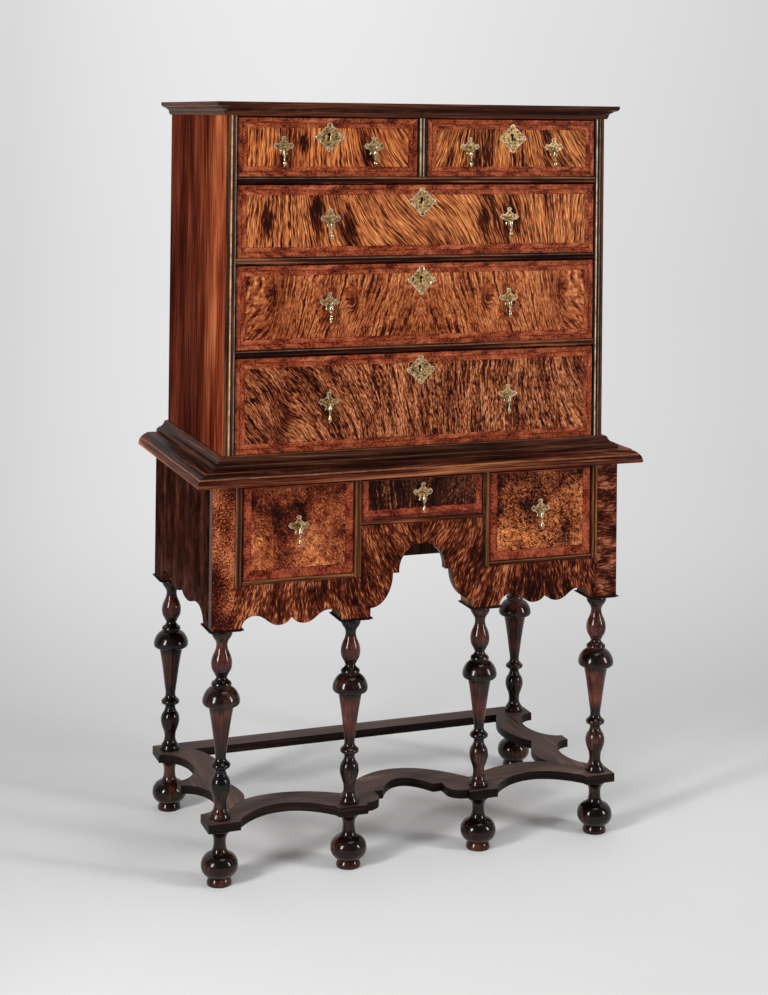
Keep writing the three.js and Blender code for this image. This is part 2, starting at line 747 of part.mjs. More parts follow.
// A keyhole: a round hole with a slot under it, cut into the front from its face.
function keyhole(z) {
  const slot = keyholeSlotWidth / 2;
  const slotAngle = Math.asin(slot / keyholeRadius);
  const outline = new THREE.Shape();
  outline.moveTo(-slot, z - keyholeSlotLength);
  outline.lineTo(slot, z - keyholeSlotLength);
  outline.absarc(0, z, keyholeRadius, slotAngle - Math.PI / 2, -slotAngle - Math.PI / 2, false);
  outline.closePath();
  return board(outline, 'front', -overrun, keyholeDepth);
}

// A drawer front with its staples, and a lock let into its back.
function drawerFront(drawer, half, pullPlaces) {
  const top = drawer.ceiling - drawer.floor - drawerTopGap;
  const lockTop = top - drawerSideDrop;
  const panel = centredBox(half, 0, drawerFrontThickness, gap, top);
  const staples = pullPlaces.map(([x, z]) => staple(x, z));
  if (!drawer.locked) return joined([panel, ...staples]);
  const lockBack = drawerFrontThickness + lockThickness;
  const [lockFront, lockBottom] = [drawerFrontThickness - overrun, lockTop - lockHeight];
  const lock = centredBox(lockWidth / 2, lockFront, lockBack, lockBottom, lockTop);
  return joined([panel, lock, ...staples]).subtract(keyhole(drawer.ceiling - drawer.floor - keyholeBelowTop));
}

// The box behind a drawer front: two sides, a back and a bottom, open at the top and towards the front.
function drawerBox(drawer, half, depth) {
  const front = drawerFrontThickness + gap;
  const top = drawer.ceiling - drawer.floor - drawerTopGap - drawerSideDrop;
  const insideHalf = half - drawerWall;
  const insideFloor = gap + drawerBottom;
  const inside = centredBox(insideHalf, front - overrun, depth - drawerWall, insideFloor, top + overrun);
  return centredBox(half, front, depth, gap, top).subtract(inside);
}

// A drawer in its opening, with its front's face on the group's Y zero.
const dropPiece = drop();
function addDrawer(drawer) {
  const { name, left, right, floor, ceiling, plane, backLimit, pulls, lift } = drawer;
  const group = new THREE.Group();
  group.position.set((left + right) / 2, plane + drawerRecess, floor);
  chest.add(group);
  const width = right - left;
  const half = width / 2 - drawerSideGap;
  const depth = backLimit - drawerBackRoom - plane - drawerRecess;
  const pullHeight = (ceiling - floor) / 2 + lift;
  const spread = pulls > 1 ? width * pullSpreadShare : 0;
  const pullPlaces = [[-spread, pullHeight], [spread, pullHeight]].slice(0, pulls);
  addPiece(`${name}_front`, drawerFront(drawer, half, pullPlaces), 'burl', group);
  addPiece(`${name}_box`, drawerBox(drawer, half, depth), 'innerWood', group);
  pullPlaces.forEach(([x, z], index) => {
    const suffix = pulls > 1 ? ['_left', '_right'][index] : '';
    addPiece(`${name}_drop${suffix}`, dropPiece, 'brass', group).position.set(x, -stapleReach, z);
  });
}

// Upper case
const upperSidePiece = upperSide();
const upperBackTop = topBoardBottom - gap;
addPiece('upper_left_side', mirrored(upperSidePiece), 'walnut');
addPiece('upper_right_side', upperSidePiece, 'walnut');
addPiece('upper_bottom_board', upperBottomBoard(), 'darkWalnut');
addPiece('upper_top_board', upperTopBoard(), 'darkWalnut');
const upperBackPanel = centredBox(upperInner - gap, upperBackPlane, backFace, upperBottom, upperBackTop);
addPiece('upper_back_panel', upperBackPanel, 'innerWood');
addPiece('rail_lower', upperRail(openingLevels[0]), 'walnut');
addPiece('rail_middle', upperRail(openingLevels[1]), 'walnut');
addPiece('rail_upper', dividedRail(openingLevels[2]), 'walnut');

// Lower case
const lowerSidePiece = lowerSide();
const partitionPiece = lowerPartition();
addPiece('lower_left_side', mirrored(lowerSidePiece), 'darkWalnut');
addPiece('lower_right_side', lowerSidePiece, 'darkWalnut');
addPiece('lower_apron', lowerApron(), 'walnut');
const lowerBackPanel = centredBox(lowerInner - gap, lowerBackPlane, backFace, caseBottom, lowerTop);
addPiece('lower_back_panel', lowerBackPanel, 'innerWood');
addPiece('left_partition', mirrored(partitionPiece), 'innerWood');
addPiece('right_partition', partitionPiece, 'innerWood');
addPiece('table_board', tableBoard(), 'darkWalnut');

// Legs and feet
const legPiece = leg();
const footPiece = foot();
const legPlaces = {
  front_left: [-legX, frontLegY],
  front_inner_left: [-innerLegOffset, frontLegY],
  front_inner_right: [innerLegOffset, frontLegY],
  front_right: [legX, frontLegY],
  rear_left: [-legX, rearLegY],
  rear_right: [legX, rearLegY],
};
for (const [name, [x, y]] of Object.entries(legPlaces)) {
  addPiece(`leg_${name}`, legPiece, 'ebonised').position.set(x, y, 0);
  addPiece(`foot_${name}`, footPiece, 'ebonised').position.set(x, y, 0);
}

// Stretchers
const sideStretcherPiece = sideStretcher();
addPiece('stretcher_front', frontStretcher(), 'darkWalnut');
addPiece('stretcher_left', mirrored(sideStretcherPiece), 'darkWalnut');
addPiece('stretcher_right', sideStretcherPiece, 'darkWalnut');
addPiece('stretcher_back', backStretcher(), 'darkWalnut');

// Drawers of the upper case
const [lowLevel, middleLevel, highLevel, topLevel] = openingLevels;
const upperDrawer = {
  left: -openingHalf,
  right: openingHalf,
  plane: upperFront,
  backLimit: upperBackPlane,
  pulls: 2,
  locked: true,
};
const postHalf = topDividerWidth / 2;
addDrawer({ ...upperDrawer, ...topLevel, name: 'drawer_top_left', right: -postHalf, lift: 0 });
addDrawer({ ...upperDrawer, ...topLevel, name: 'drawer_top_right', left: postHalf, lift: 0 });
addDrawer({ ...upperDrawer, ...highLevel, name: 'drawer_high', lift: highPullLift });
addDrawer({ ...upperDrawer, ...middleLevel, name: 'drawer_middle', lift: middlePullLift });
addDrawer({ ...upperDrawer, ...lowLevel, name: 'drawer_low', lift: 0 });

// Drawers of the lower case
const baseDrawer = {
  ceiling: lowerOpeningTop,
  plane: lowerFront,
  backLimit: lowerBackPlane,
  pulls: 1,
  locked: false,
  lift: basePullLift,
};
const sideDrawer = { ...baseDrawer, floor: sideOpeningFloor };
addDrawer({ ...sideDrawer, name: 'drawer_base_left', left: -sideOpeningOuter, right: -sideOpeningInner });
addDrawer({ ...sideDrawer, name: 'drawer_base_right', left: sideOpeningInner, right: sideOpeningOuter });
const [centreLeft, centreRight] = [-centreOpeningHalf, centreOpeningHalf];
const centreDrawer = { ...baseDrawer, floor: centreOpeningFloor, left: centreLeft, right: centreRight };
addDrawer({ ...centreDrawer, name: 'drawer_base_centre' });

export default chest;
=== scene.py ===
import math

import bmesh
import bpy
from mathutils import Matrix, Vector
from mathutils.geometry import tessellate_polygon

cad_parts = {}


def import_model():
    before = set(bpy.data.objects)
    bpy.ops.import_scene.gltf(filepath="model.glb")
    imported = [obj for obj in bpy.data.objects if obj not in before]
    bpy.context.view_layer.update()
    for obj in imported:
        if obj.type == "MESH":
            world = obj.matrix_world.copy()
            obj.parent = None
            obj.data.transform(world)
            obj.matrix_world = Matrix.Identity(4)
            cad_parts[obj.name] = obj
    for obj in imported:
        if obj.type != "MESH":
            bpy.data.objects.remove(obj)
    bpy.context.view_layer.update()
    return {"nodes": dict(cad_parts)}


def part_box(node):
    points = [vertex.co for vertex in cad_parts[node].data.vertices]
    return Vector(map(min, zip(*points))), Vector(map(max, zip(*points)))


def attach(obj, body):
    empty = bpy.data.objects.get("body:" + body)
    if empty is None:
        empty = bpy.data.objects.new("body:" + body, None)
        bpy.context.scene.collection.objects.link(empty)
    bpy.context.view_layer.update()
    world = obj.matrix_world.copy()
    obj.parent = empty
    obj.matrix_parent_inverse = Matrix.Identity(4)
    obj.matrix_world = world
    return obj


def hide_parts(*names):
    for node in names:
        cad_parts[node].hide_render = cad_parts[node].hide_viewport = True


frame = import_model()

# Sizes in millimetres, the same as the solids have
MM = 0.001
GAP = 0.3
UPPER_HALF, UPPER_DEPTH = 430, 468
LOWER_HALF, LOWER_DEPTH = 457, 492
OPENING_HALF = 407
SIDE_BOARD = 18
STILE_DEPTH = 20
RAIL_HEIGHT = 15
RAIL_DEPTH = 60
POST_HALF = 10
BEAD_PROUD, BEAD_SEAT = 3, 4
CASE_BOTTOM, LOWER_TOP = 520.9, 814.4
TABLE_BOTTOM, TABLE_TOP, TABLE_OVERHANG = 814.7, 842.7, 41.5
UPPER_BOTTOM, WAIST_TOP, WAIST_OUT = 843, 868, 27
TOP_RAIL_BOTTOM, TOP_BOARD_BOTTOM = 1560, 1570
CORNICE_BOTTOM, OVERALL_HEIGHT, CORNICE_OUT = 1562, 1590, 25
BACK_PANEL, LOWER_BACK_PANEL = 10, 15
RUNNER, RUNNER_WIDTH, GUIDE = 15, 20, 20
PAD = 64
LOWER_BOARD = 20
OPENING_OUTER, OPENING_INNER, CENTRE_OPENING = 393, 153, 137
OPENING_TOP, SIDE_FLOOR, CENTRE_FLOOR = 806.4, 616.4, 720.4
LOWER_BEAD = 9
BLOCK_HEIGHT, INNER_BLOCK_HEIGHT = 120, 78
LEG_BOTTOM, LEG_TOP, CAP_HALF, CAP_THICK = 132.6, 520.6, 36, 5
STRETCHER_BOTTOM, STRETCHER_TOP = 114.3, 132.3
LEG_IN, INNER_LEG = 32, 147

# Floor and ceiling of each row of drawers in the upper case
LEVELS = [(868, 1066), (1081, 1255), (1270, 1421), (1436, 1560)]

# Laps of pieces that share a node, and a hair that keeps two faces out of one plane
LAP, DEEP_LAP = 1, 5
HAIR = 0.1
CHAMFER, PLATE_CHAMFER, RIM_CHAMFER = 0.4, 0.2, 0.15
FACING = 2
SAME_POINT = 0.01
LEAST_MITRE = 0.5

# Skirts: crest, lobe and cusp of a scallop, then the arch
SIDE_SCALLOP = (30, 15, 32)
FRONT_SCALLOP = (24, 1, 21)
ARCH_RADIUS, ARCH_RISE, ARCH_SHOULDER, ARCH_LEDGE, ARCH_FOOT = 52, 145, 88, 14, 19
CROWN_ANGLE = 88
LIP_THICK, LIP_PROUD, LIP_SUNK, LIP_LIFT = 1.2, 0.6, 2.0, 0.02

# Stretchers: depths are taken from the front, the back or the outer edge
STRETCHER_WIDTH, BACK_STRETCHER = 60, 50
QUIRK_DEPTH, QUIRK_SLANT = 12, 3
BAY_DEPTH, INNER_BACK, CENTRE_DEPTH = 68, 82, 124
SHOULDER_IN, SHOULDER_DEPTH, SHOULDER_STEP, SHOULDER_EASE = 38, 44, 26, 20
MITRE_IN, MITRE_DEPTH = 107, 115
SIDE_BOW, SIDE_TIP, SIDE_WAIST, REAR_CORNER = 54, 15, 84, 85

# Drawer fronts and what they carry
FRONT_THICKNESS, RECESS = 20, 1
SIDE_PLAY, TOP_PLAY = 1.5, 2
BAND, BASE_BAND, DARK_BAND, NO_BAND = 10.5, 18, 8, 0.5
KEYHOLE_RADIUS, KEYHOLE_SLOT, KEYHOLE_LENGTH, KEYHOLE_DEPTH = 3.4, 2.1, 12, 14
LOCK_HALF, LOCK_HEIGHT, LOCK_DOWN, LOCK_LET_IN, LOCK_OUT = 31, 40, 6, 5, 9
STAPLE_REACH, STAPLE_SPAN, STAPLE_TAIL, WIRE = 9, 8, 8, 1.2
STAPLE_CORNER, STAPLE_EASE = 2, 0.6
PLATE, PLATE_LET_IN, RIM_RAISED, RIM_WIDTH = 0.9, 0.5, 0.3, 1.5
PULL_PLATE, PULL_PLATE_LIFT = (22, 20.5), 1.5
ESCUTCHEON, ESCUTCHEON_RIGHT, ESCUTCHEON_DOWN = (31.5, 31), 1.5, 6
EYE_MAJOR, EYE_MINOR, EYE_HALF = 2.15, 0.85, 2.2

# Where a moulding's painted highlight and shade lines on its sides begin, where the apron's stiles begin,
# and where the upper sides get redder
SIDE_FADE, STILE_FADE = (1, 4), 0.5
WARM_FROM, WARM_FULL = 230, 30

# Planes from front to back; the back face comes from the frame
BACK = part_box("upper_left_side")[1][1] / MM
UPPER_FRONT = BACK - UPPER_DEPTH
LOWER_FRONT = BACK - LOWER_DEPTH
FRONT_LEG_Y = LOWER_FRONT + LEG_IN
REAR_LEG_Y = BACK - LEG_IN
LEG_X = LOWER_HALF - LEG_IN


# Curves


def catmull(points, steps=6):
    """A smooth line through points."""
    if len(points) < 3:
        return list(points)
    padded = [points[0], *points, points[-1]]
    line = []
    for a, b, c, d in zip(padded, padded[1:], padded[2:], padded[3:]):
        for step in range(steps):
            t = step / steps
            line.append(tuple(between(t, *places) for places in zip(a, b, c, d)))
    line.append(tuple(points[-1]))
    return line


def between(t, p, q, r, s):
    """A place between q and r on the smooth line through four places."""
    squared = (2 * p - 5 * q + 4 * r - s) * t**2
    cubed = (3 * q - p - 3 * r + s) * t**3
    return 0.5 * (2 * q + (r - p) * t + squared + cubed)


def joined(runs, steps=6):
    """A profile from smooth runs with corners between them. Each run goes on from the one before."""
    line = list(runs[0])
    for run in runs[1:]:
        line += catmull([line[-1], *run], steps)[1:]
    return line


def scaled(points, across, up):
    return [(a * across, b * up) for a, b in points]


def circle(count, turn=0.0):
    """Angles that are evenly spaced round a circle."""
    return [turn + math.tau * index / count for index in range(count)]


class Path:
    """An outline drawn with straight lines and bends, kept as close points."""

    quarter_share = 0.5523
    bow_share = 0.52
    ease_share = 0.42
    crest_share = 0.13
    lobe_share = 0.37

    def __init__(self, a, b):
        self.points = [(a, b)]

    def line(self, *ends):
        self.points.extend(ends)
        return self

    def bend(self, first, second, end, steps=14):
        """A curve to an end, drawn towards two control points."""
        controls = list(zip(self.points[-1], first, second, end))
        for step in range(1, steps + 1):
            t = step / steps
            w = ((1 - t) ** 3, 3 * t * (1 - t) ** 2, 3 * t * t * (1 - t), t**3)
            self.points.append(tuple(w[0] * p + w[1] * q + w[2] * r + w[3] * s for p, q, r, s in controls))
        return self

    def quarter(self, a, b, leaves):
        """A quarter of an ellipse that leaves along one axis and arrives along the other."""
        a0, b0 = self.points[-1]
        across, up = (a - a0) * self.quarter_share, (b - b0) * self.quarter_share
        if leaves == "a":
            return self.bend((a0 + across, b0), (a, b - up), (a, b))
        return self.bend((a0, b0 + up), (a - across, b), (a, b))

    def pull(self, control, end):
        """A bend with one control point."""
        start = self.points[-1]
        first = tuple(p + (c - p) * 2 / 3 for p, c in zip(start, control))
        second = tuple(e + (c - e) * 2 / 3 for e, c in zip(end, control))
        return self.bend(first, second, end)

    def to_crest(self, a, b, along):
        """A bow that ends level with one axis."""
        a0, b0 = self.points[-1]
        back = ((a0 - a) * self.bow_share, 0) if along == "a" else (0, (b0 - b) * self.bow_share)
        return self.pull((a + back[0], b + back[1]), (a, b))

    def from_crest(self, a, b, along):
        """A bow that starts level with one axis."""
        a0, b0 = self.points[-1]
        on = ((a - a0) * self.bow_share, 0) if along == "a" else (0, (b - b0) * self.bow_share)
        return self.pull((a0 + on[0], b0 + on[1]), (a, b))

    def ease(self, a, b):
        """An S that is level at both ends."""
        a0, b0 = self.points[-1]
        reach = (a - a0) * self.ease_share
        return self.bend((a0 + reach, b0), (a - reach, b), (a, b))

    def scallop(self, start, end, base, crest, lobe, cusp):
        """A skirt's edge between two pads: crest, lobe, sharp cusp, lobe and crest."""
        span = end - start
        self.quarter(start + span * self.crest_share, base + crest, "b")
        self.ease(start + span * self.lobe_share, base + lobe)
        self.quarter(start + span / 2, base + cusp, "a")
        self.quarter(end - span * self.lobe_share, base + lobe, "b")
        self.ease(end - span * self.crest_share, base + crest)
        return self.quarter(end, base, "a")

    def arc(self, a, b, radius, start, end, steps=28):
        """A part of a circle, from one angle to another in degrees."""
        for step in range(steps + 1):
            angle = math.radians(start + (end - start) * step / steps)
            self.points.append((a + radius * math.cos(angle), b + radius * math.sin(angle)))
        return self


def both_halves(half):
    """A closed outline from its right half, which starts and ends on the centre line."""
    left = [(-a, b) for a, b in reversed(half) if abs(a) > SAME_POINT]
    return half + left


def rectangle(x0, x1, z0, z1):
    return [(x0, z0), (x1, z0), (x1, z1), (x0, z1)]


def shifted(loop):
    """A closed loop that starts one point later."""
    return loop[1:] + loop[:1]


def distinct(loop):
    """A closed outline without points that fall together."""
    return [p for p, q in zip(loop, shifted(loop)) if math.dist(p, q) > SAME_POINT]


def inset(loop, width, hole=False):
    """A closed outline moved into its board by a width."""
    area = sum(p[0] * q[1] - q[0] * p[1] for p, q in zip(loop, shifted(loop)))
    side = 1 if (area > 0) != hole else -1
    edges = []
    for p, q in zip(loop, shifted(loop)):
        length = math.dist(p, q)
        edges.append(((p[1] - q[1]) / length, (q[0] - p[0]) / length))
    moved = []
    for index, (a, b) in enumerate(loop):
        (a0, b0), (a1, b1) = edges[index - 1], edges[index]
        scale = width * side / max(1 + a0 * a1 + b0 * b1, LEAST_MITRE)
        moved.append((a + (a0 + a1) * scale, b + (b0 + b1) * scale))
    return moved


def on_side(side, x0, x1):
    """Two places mirrored to the left or right side, from left to right."""
    return sorted((x0 * side, x1 * side))


# Boards lie in the front's plane, a side's plane or the plan


def front_plane(a, b, depth):
    return (a, depth, b)


def side_plane(a, b, depth):
    return (depth, a, b)


def plan_plane(a, b, depth):
    return (a, b, depth)


def placed(loop, plane, depth):
    """A loop of a plane as points in space."""
    return [plane(a, b, depth) for a, b in loop]


def triangles(loops):
    """Triangles that fill an outline round its holes."""
    points = [point for loop in loops for point in loop]
    flat = [[Vector((a, b, 0)) for a, b in loop] for loop in loops]
    return [[points[index] for index in corners] for corners in tessellate_polygon(flat)]


class Piece:
    """The faces of one piece in millimetres, each with its material."""

    weld = 1e-6
    sharp_angle = 38

    def __init__(self):
        self.mesh = bmesh.new()
        self.along = self.mesh.loops.layers.uv.new("along")
        self.materials = []

    def face(self, points, material, places=None):
        """One face, with its places along and across a strip."""
        if material not in self.materials:
            self.materials.append(material)
        face = self.mesh.faces.new([self.mesh.verts.new(Vector(point) * MM) for point in points])
        face.material_index = self.materials.index(material)
        face.smooth = True
        for loop, place in zip(face.loops, places or ()):
            loop[self.along].uv = place

    def belts(self, rings, material):
        """Faces between closed rings. Corners of a face that fall together count once."""
        for near, far in zip(rings, rings[1:]):
            for corners in zip(near, shifted(near), shifted(far), far):
                corners = list(dict.fromkeys(corners))
                if len(corners) > 2:
                    self.face(corners, material)

    def box(self, x0, x1, y0, y1, z0, z1, material):
        """A block with a chamfer on every edge."""
        corners = [(x0, y0, 1, 1), (x1, y0, -1, 1), (x1, y1, -1, -1), (x0, y1, 1, -1)]
        outline = []
        for index, (x, y, to_x, to_y) in enumerate(corners):
            pair = [(x, y + to_y * CHAMFER), (x + to_x * CHAMFER, y)]
            outline += pair if index % 2 == 0 else pair[::-1]
        self.slab(outline, plan_plane, z0, z1, material)

    def slab(self, outline, plane, low, high, material, edge=None, holes=(), rim=CHAMFER):
        """A board cut from an outline, with holes, and with a narrow chamfer round every rim."""
        loops = [distinct(loop) for loop in (outline, *holes)]
        inner = [inset(loop, rim, index > 0) for index, loop in enumerate(loops)]
        faces = triangles(inner)
        for depth in (low, high):
            for corners in faces:
                self.face(placed(corners, plane, depth), material)
        step = math.copysign(rim, high - low)
        layers = [(low, inner), (low + step, loops), (high - step, loops), (high, inner)]
        for (near, near_loops), (far, far_loops) in zip(layers, layers[1:]):
            for one, other in zip(near_loops, far_loops):
                self.belts([placed(one, plane, near), placed(other, plane, far)], edge or material)

    def run(self, section, stations, material):
        """Carry a closed section through stations, each of which places a point of the section."""
        self.closed([[station(*point) for point in section] for station in stations], material)

    def closed(self, rings, material):
        """A solid through closed rings, with a face on both ends."""
        self.belts(rings, material)
        self.face(rings[0], material)
        self.face(rings[-1], material)

    def lathe(self, runs, x, y, material, sides=48, turn=0.0, lift=0.0):
        """A turned solid. Each run of the profile is smooth, and corners lie between runs."""
        rings = []
        for radius, height in joined(runs):
            flat = [(x + radius * math.cos(t), y + radius * math.sin(t)) for t in circle(sides, turn)]
            rings.append(placed(flat, plan_plane, height + lift))
        self.belts(rings, material)

    def tube(self, points, radius, material, sides=12):
        """A round wire through points that lie at one height."""
        centres = [Vector(point) for point in points]
        up = Vector((0, 0, 1))
        rings = []
        for index, centre in enumerate(centres):
            last = centres[max(index - 1, 0)]
            following = centres[min(index + 1, len(centres) - 1)]
            across = (following - last).normalized().cross(up)
            ring = [centre + (across * math.cos(t) + up * math.sin(t)) * radius for t in circle(sides)]
            rings.append([tuple(point) for point in ring])
        self.closed(rings, material)

    def make(self, name, body, nodes=()):
        """Turn the faces into an object that rides on a body and stands for its nodes."""
        bmesh.ops.remove_doubles(self.mesh, verts=self.mesh.verts, dist=self.weld)
        bmesh.ops.recalc_face_normals(self.mesh, faces=self.mesh.faces)
        data = bpy.data.meshes.new(name)
        self.mesh.to_mesh(data)
        self.mesh.free()
        data.set_sharp_from_angle(angle=math.radians(self.sharp_angle))
        for material in self.materials:
            data.materials.append(material)
        piece = bpy.data.objects.new(name, data)
        bpy.context.scene.collection.objects.link(piece)
        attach(piece, body)
        if nodes:
            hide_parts(*nodes)


# Materials from nodes


def linear(code):
    """A colour code as the values that a shader takes."""
    values = [int(code[index : index + 2], 16) / 255 for index in (1, 3, 5)]
    return (*[v / 12.92 if v <= 0.04045 else ((v + 0.055) / 1.055) ** 2.4 for v in values], 1)


class Value:
    """A number that changes over the surface. Sums and products of it become nodes."""

    def __init__(self, paint, socket):
        self.paint = paint
        self.socket = socket

    def __add__(self, other):
        return self.paint.math("ADD", self, other)

    def __sub__(self, other):
        return self.paint.math("SUBTRACT", self, other)

    def __rsub__(self, other):
        return self.paint.math("SUBTRACT", other, self)

    def __mul__(self, other):
        return self.paint.math("MULTIPLY", self, other)

    def __truediv__(self, other):
        return self.paint.math("DIVIDE", self, other)

    def __abs__(self):
        return self.paint.math("ABSOLUTE", self)

    def at_least(self, other):
        return self.paint.math("MAXIMUM", self, other)

    def share(self, low, high, to_low=0, to_high=1):
        """How far the value lies between two others, kept between them."""
        node = self.paint.node("MapRange")
        for socket, value in zip(node.inputs[:5], (self, low, high, to_low, to_high)):
            self.paint.feed(socket, value)
        return Value(self.paint, node.outputs[0])


class Paint:
    """A material whose look comes from nodes, in the metres of the frame."""

    tone_places = (0.04, 0.27, 0.5, 0.73, 0.96)
    bump_strength = 0.5

    def __init__(self, name, roughness=0.4, specular=0.3, metallic=0):
        self.material = bpy.data.materials.new(name)
        self.material.use_nodes = True
        self.tree = self.material.node_tree
        self.shader = self.tree.nodes["Principled BSDF"]
        settings = {"Roughness": roughness, "Specular IOR Level": specular, "Metallic": metallic}
        for key, value in settings.items():
            self.shader.inputs[key].default_value = value
        self.coordinates = self.node("TexCoord")
        self.places = dict(zip("xyz", self.split("Object")))
        self.x, self.y, self.z = self.places.values()

    def split(self, kind):
        """The single numbers of a kind of coordinate."""
        node = self.node("SeparateXYZ")
        self.tree.links.new(self.coordinates.outputs[kind], node.inputs[0])
        return [Value(self, socket) for socket in node.outputs]

    def node(self, kind, **settings):
        node = self.tree.nodes.new("ShaderNode" + kind)
        for key, value in settings.items():
            setattr(node, key, value)
        return node

    def feed(self, socket, value):
        if isinstance(value, Value):
            self.tree.links.new(value.socket, socket)
        else:
            socket.default_value = value

    def math(self, operation, *values):
        node = self.node("Math", operation=operation)
        for socket, value in zip(node.inputs, values):
            self.feed(socket, value)
        return Value(self, node.outputs[0])

    def strip(self):
        """Places along and across a strip, from the piece's own map."""
        return self.split("UV")[:2]

    def noise(self, a, b, c=0, detail=2, roughness=0.5):
        """Soft random patches, with more and finer ones by detail and roughness."""
        place = self.node("CombineXYZ")
        for socket, value in zip(place.inputs, (a, b, c)):
            self.feed(socket, value)
        node = self.node("TexNoise")
        self.tree.links.new(place.outputs[0], node.inputs["Vector"])
        for key, value in {"Scale": 1, "Detail": detail, "Roughness": roughness}.items():
            node.inputs[key].default_value = value
        return Value(self, node.outputs[0])

    def sway(self, *places):
        """Noise that lies round zero."""
        return self.noise(*places) - 0.5

    def hill(self, a, b, radius, stretch=0.4):
        """A rounded rise of height 1 where a and b are both zero, longer along b."""
        distance = (a * a + b * b * (stretch * stretch)) / (radius * radius)
        return self.math("EXPONENT", distance * -1)

    def curve(self, value, levels):
        """A level that follows evenly spaced values from 0 to 1."""
        node = self.node("FloatCurve")
        points = node.mapping.curves[0].points
        last = len(levels) - 1
        points[0].location = (0, levels[0])
        points[1].location = (1, levels[-1])
        for index, level in enumerate(levels[1:-1], start=1):
            points.new(index / last, level)
        node.mapping.update()
        self.feed(node.inputs["Value"], value)
        return Value(self, node.outputs[0])

    def ramp(self, value, *stops):
        """A colour that changes with a value: each stop has a place and a colour code."""
        node = self.node("ValToRGB")
        elements = node.color_ramp.elements
        elements.remove(elements[1])
        for index, (position, code) in enumerate(stops):
            element = elements[0] if index == 0 else elements.new(position)
            element.position = position
            element.color = linear(code)
        self.feed(node.inputs[0], value)
        return Value(self, node.outputs[0])

    def tones(self, value, codes):
        """A colour from the darkest code to the lightest one."""
        return self.ramp(value, *zip(self.tone_places, codes.split()))

    def mix(self, share, first, second):
        """A colour that goes over from a first to a second one."""
        node = self.node("Mix", data_type="RGBA", blend_type="MIX")
        self.feed(node.inputs[0], share)
        for socket, colour in zip((node.inputs[6], node.inputs[7]), (first, second)):
            self.feed(socket, linear(colour) if isinstance(colour, str) else colour)
        return Value(self, node.outputs[2])

    def lines(self, colour, across, along, places, seed):
        """Painted highlight and shade lines, the light ones partly rubbed wear: each has a place in
        millimetres, half a width, a colour and a strength.
        """
        for index, (place, half, code, strength) in enumerate(places):
            near = (1 - abs(across - place * MM) / (half * MM)).share(0, 0.45)
            # Noise breaks each painted highlight or shade line into patches
            worn = self.noise(along * 26, seed + index * 7, 0, 4, 0.7).share(0.38, 0.58, 0.25, 1)
            colour = self.mix(near * worn * strength, colour, code)
        return colour

    def rough(self, value, low, high):
        """Roughness from low to high as a value rises."""
        self.feed(self.shader.inputs["Roughness"], value.share(0.3, 0.7, low, high))

    def bump(self, value, height=0.00012):
        """Relief of a height in metres."""
        node = self.node("Bump")
        node.inputs["Strength"].default_value = self.bump_strength
        node.inputs["Distance"].default_value = height
        self.feed(node.inputs["Height"], value)
        self.tree.links.new(node.outputs[0], self.shader.inputs["Normal"])

    def blend(self, share, first, second):
        """A shader that goes over from a first to a second one."""
        node = self.node("MixShader")
        self.feed(node.inputs[0], share)
        self.tree.links.new(first, node.inputs[1])
        self.tree.links.new(second, node.inputs[2])
        return node.outputs[0]

    def done(self, colour):
        self.feed(self.shader.inputs["Base Color"], colour)
        return self.material


def grain(paint, across, along, seed=0, broad=22, fine=200, strength=4):
    """Straight-grained wood: a number that changes fast across the grain and slowly along it."""
    bent = across + paint.sway(along * 2, across * 3, seed, 1) * 0.03
    bands = paint.noise(bent * broad, along * 1.4, seed + 1, 3, 0.6)
    lines = paint.noise(bent * fine, along * 5, seed + 2, 3, 0.65)
    return (bands * 0.5 + lines * 0.5 - 0.5) * strength + 0.5


def wood(name, tones, across, along, seed, roughness=(0.36, 0.5), broad=22, specular=0.2):
    """Plain wood whose grain runs along one axis and changes across another."""
    paint = Paint(name, specular=specular)
    value = grain(paint, paint.places[across], paint.places[along], seed, broad)
    paint.rough(value, *roughness)
    paint.bump(value)
    return paint.done(paint.tones(value, tones))


def from_middle(paint, places):
    """How far a point lies from the middle of a drawer front, and half of its width and height."""
    x0, x1, z0, z1 = [place * MM for place in places]
    return paint.x - (x0 + x1) / 2, paint.z - (z0 + z1) / 2, (x1 - x0) / 2, (z1 - z0) / 2


SLOPE_RANGE = 2.4
VENEER_ROUGHNESS = (0.46, 0.34)
VENEER_PORES = 0.00006


def veneer(paint, value, tones):
    """The polish, pores and colour of a veneer."""
    paint.rough(value, *VENEER_ROUGHNESS)
    paint.bump(value, VENEER_PORES)
    return paint.done(paint.tones(value, tones))


def leaning(paint, across, up, half, slopes, mirrored):
    """Places from left to right, and places across streaks whose slopes are given from left to right."""
    lean = paint.curve(across.share(-half, half), [slope / SLOPE_RANGE + 0.5 for slope in slopes])
    if mirrored:
        across = abs(across)
    return across, across + (lean - 0.5) * SLOPE_RANGE * up


def marked(paint, flow, across, up, marks):
    """Streaks that bend round dark marks: each has its place, radius, pull and darkness."""
    gloom = 0
    for mark_x, mark_z, radius, pull, shadow in marks:
        rise = paint.hill(across - mark_x * MM, up - mark_z * MM, radius * MM)
        flow = flow + rise * (pull * MM)
        gloom = rise * shadow + gloom
    return flow, gloom


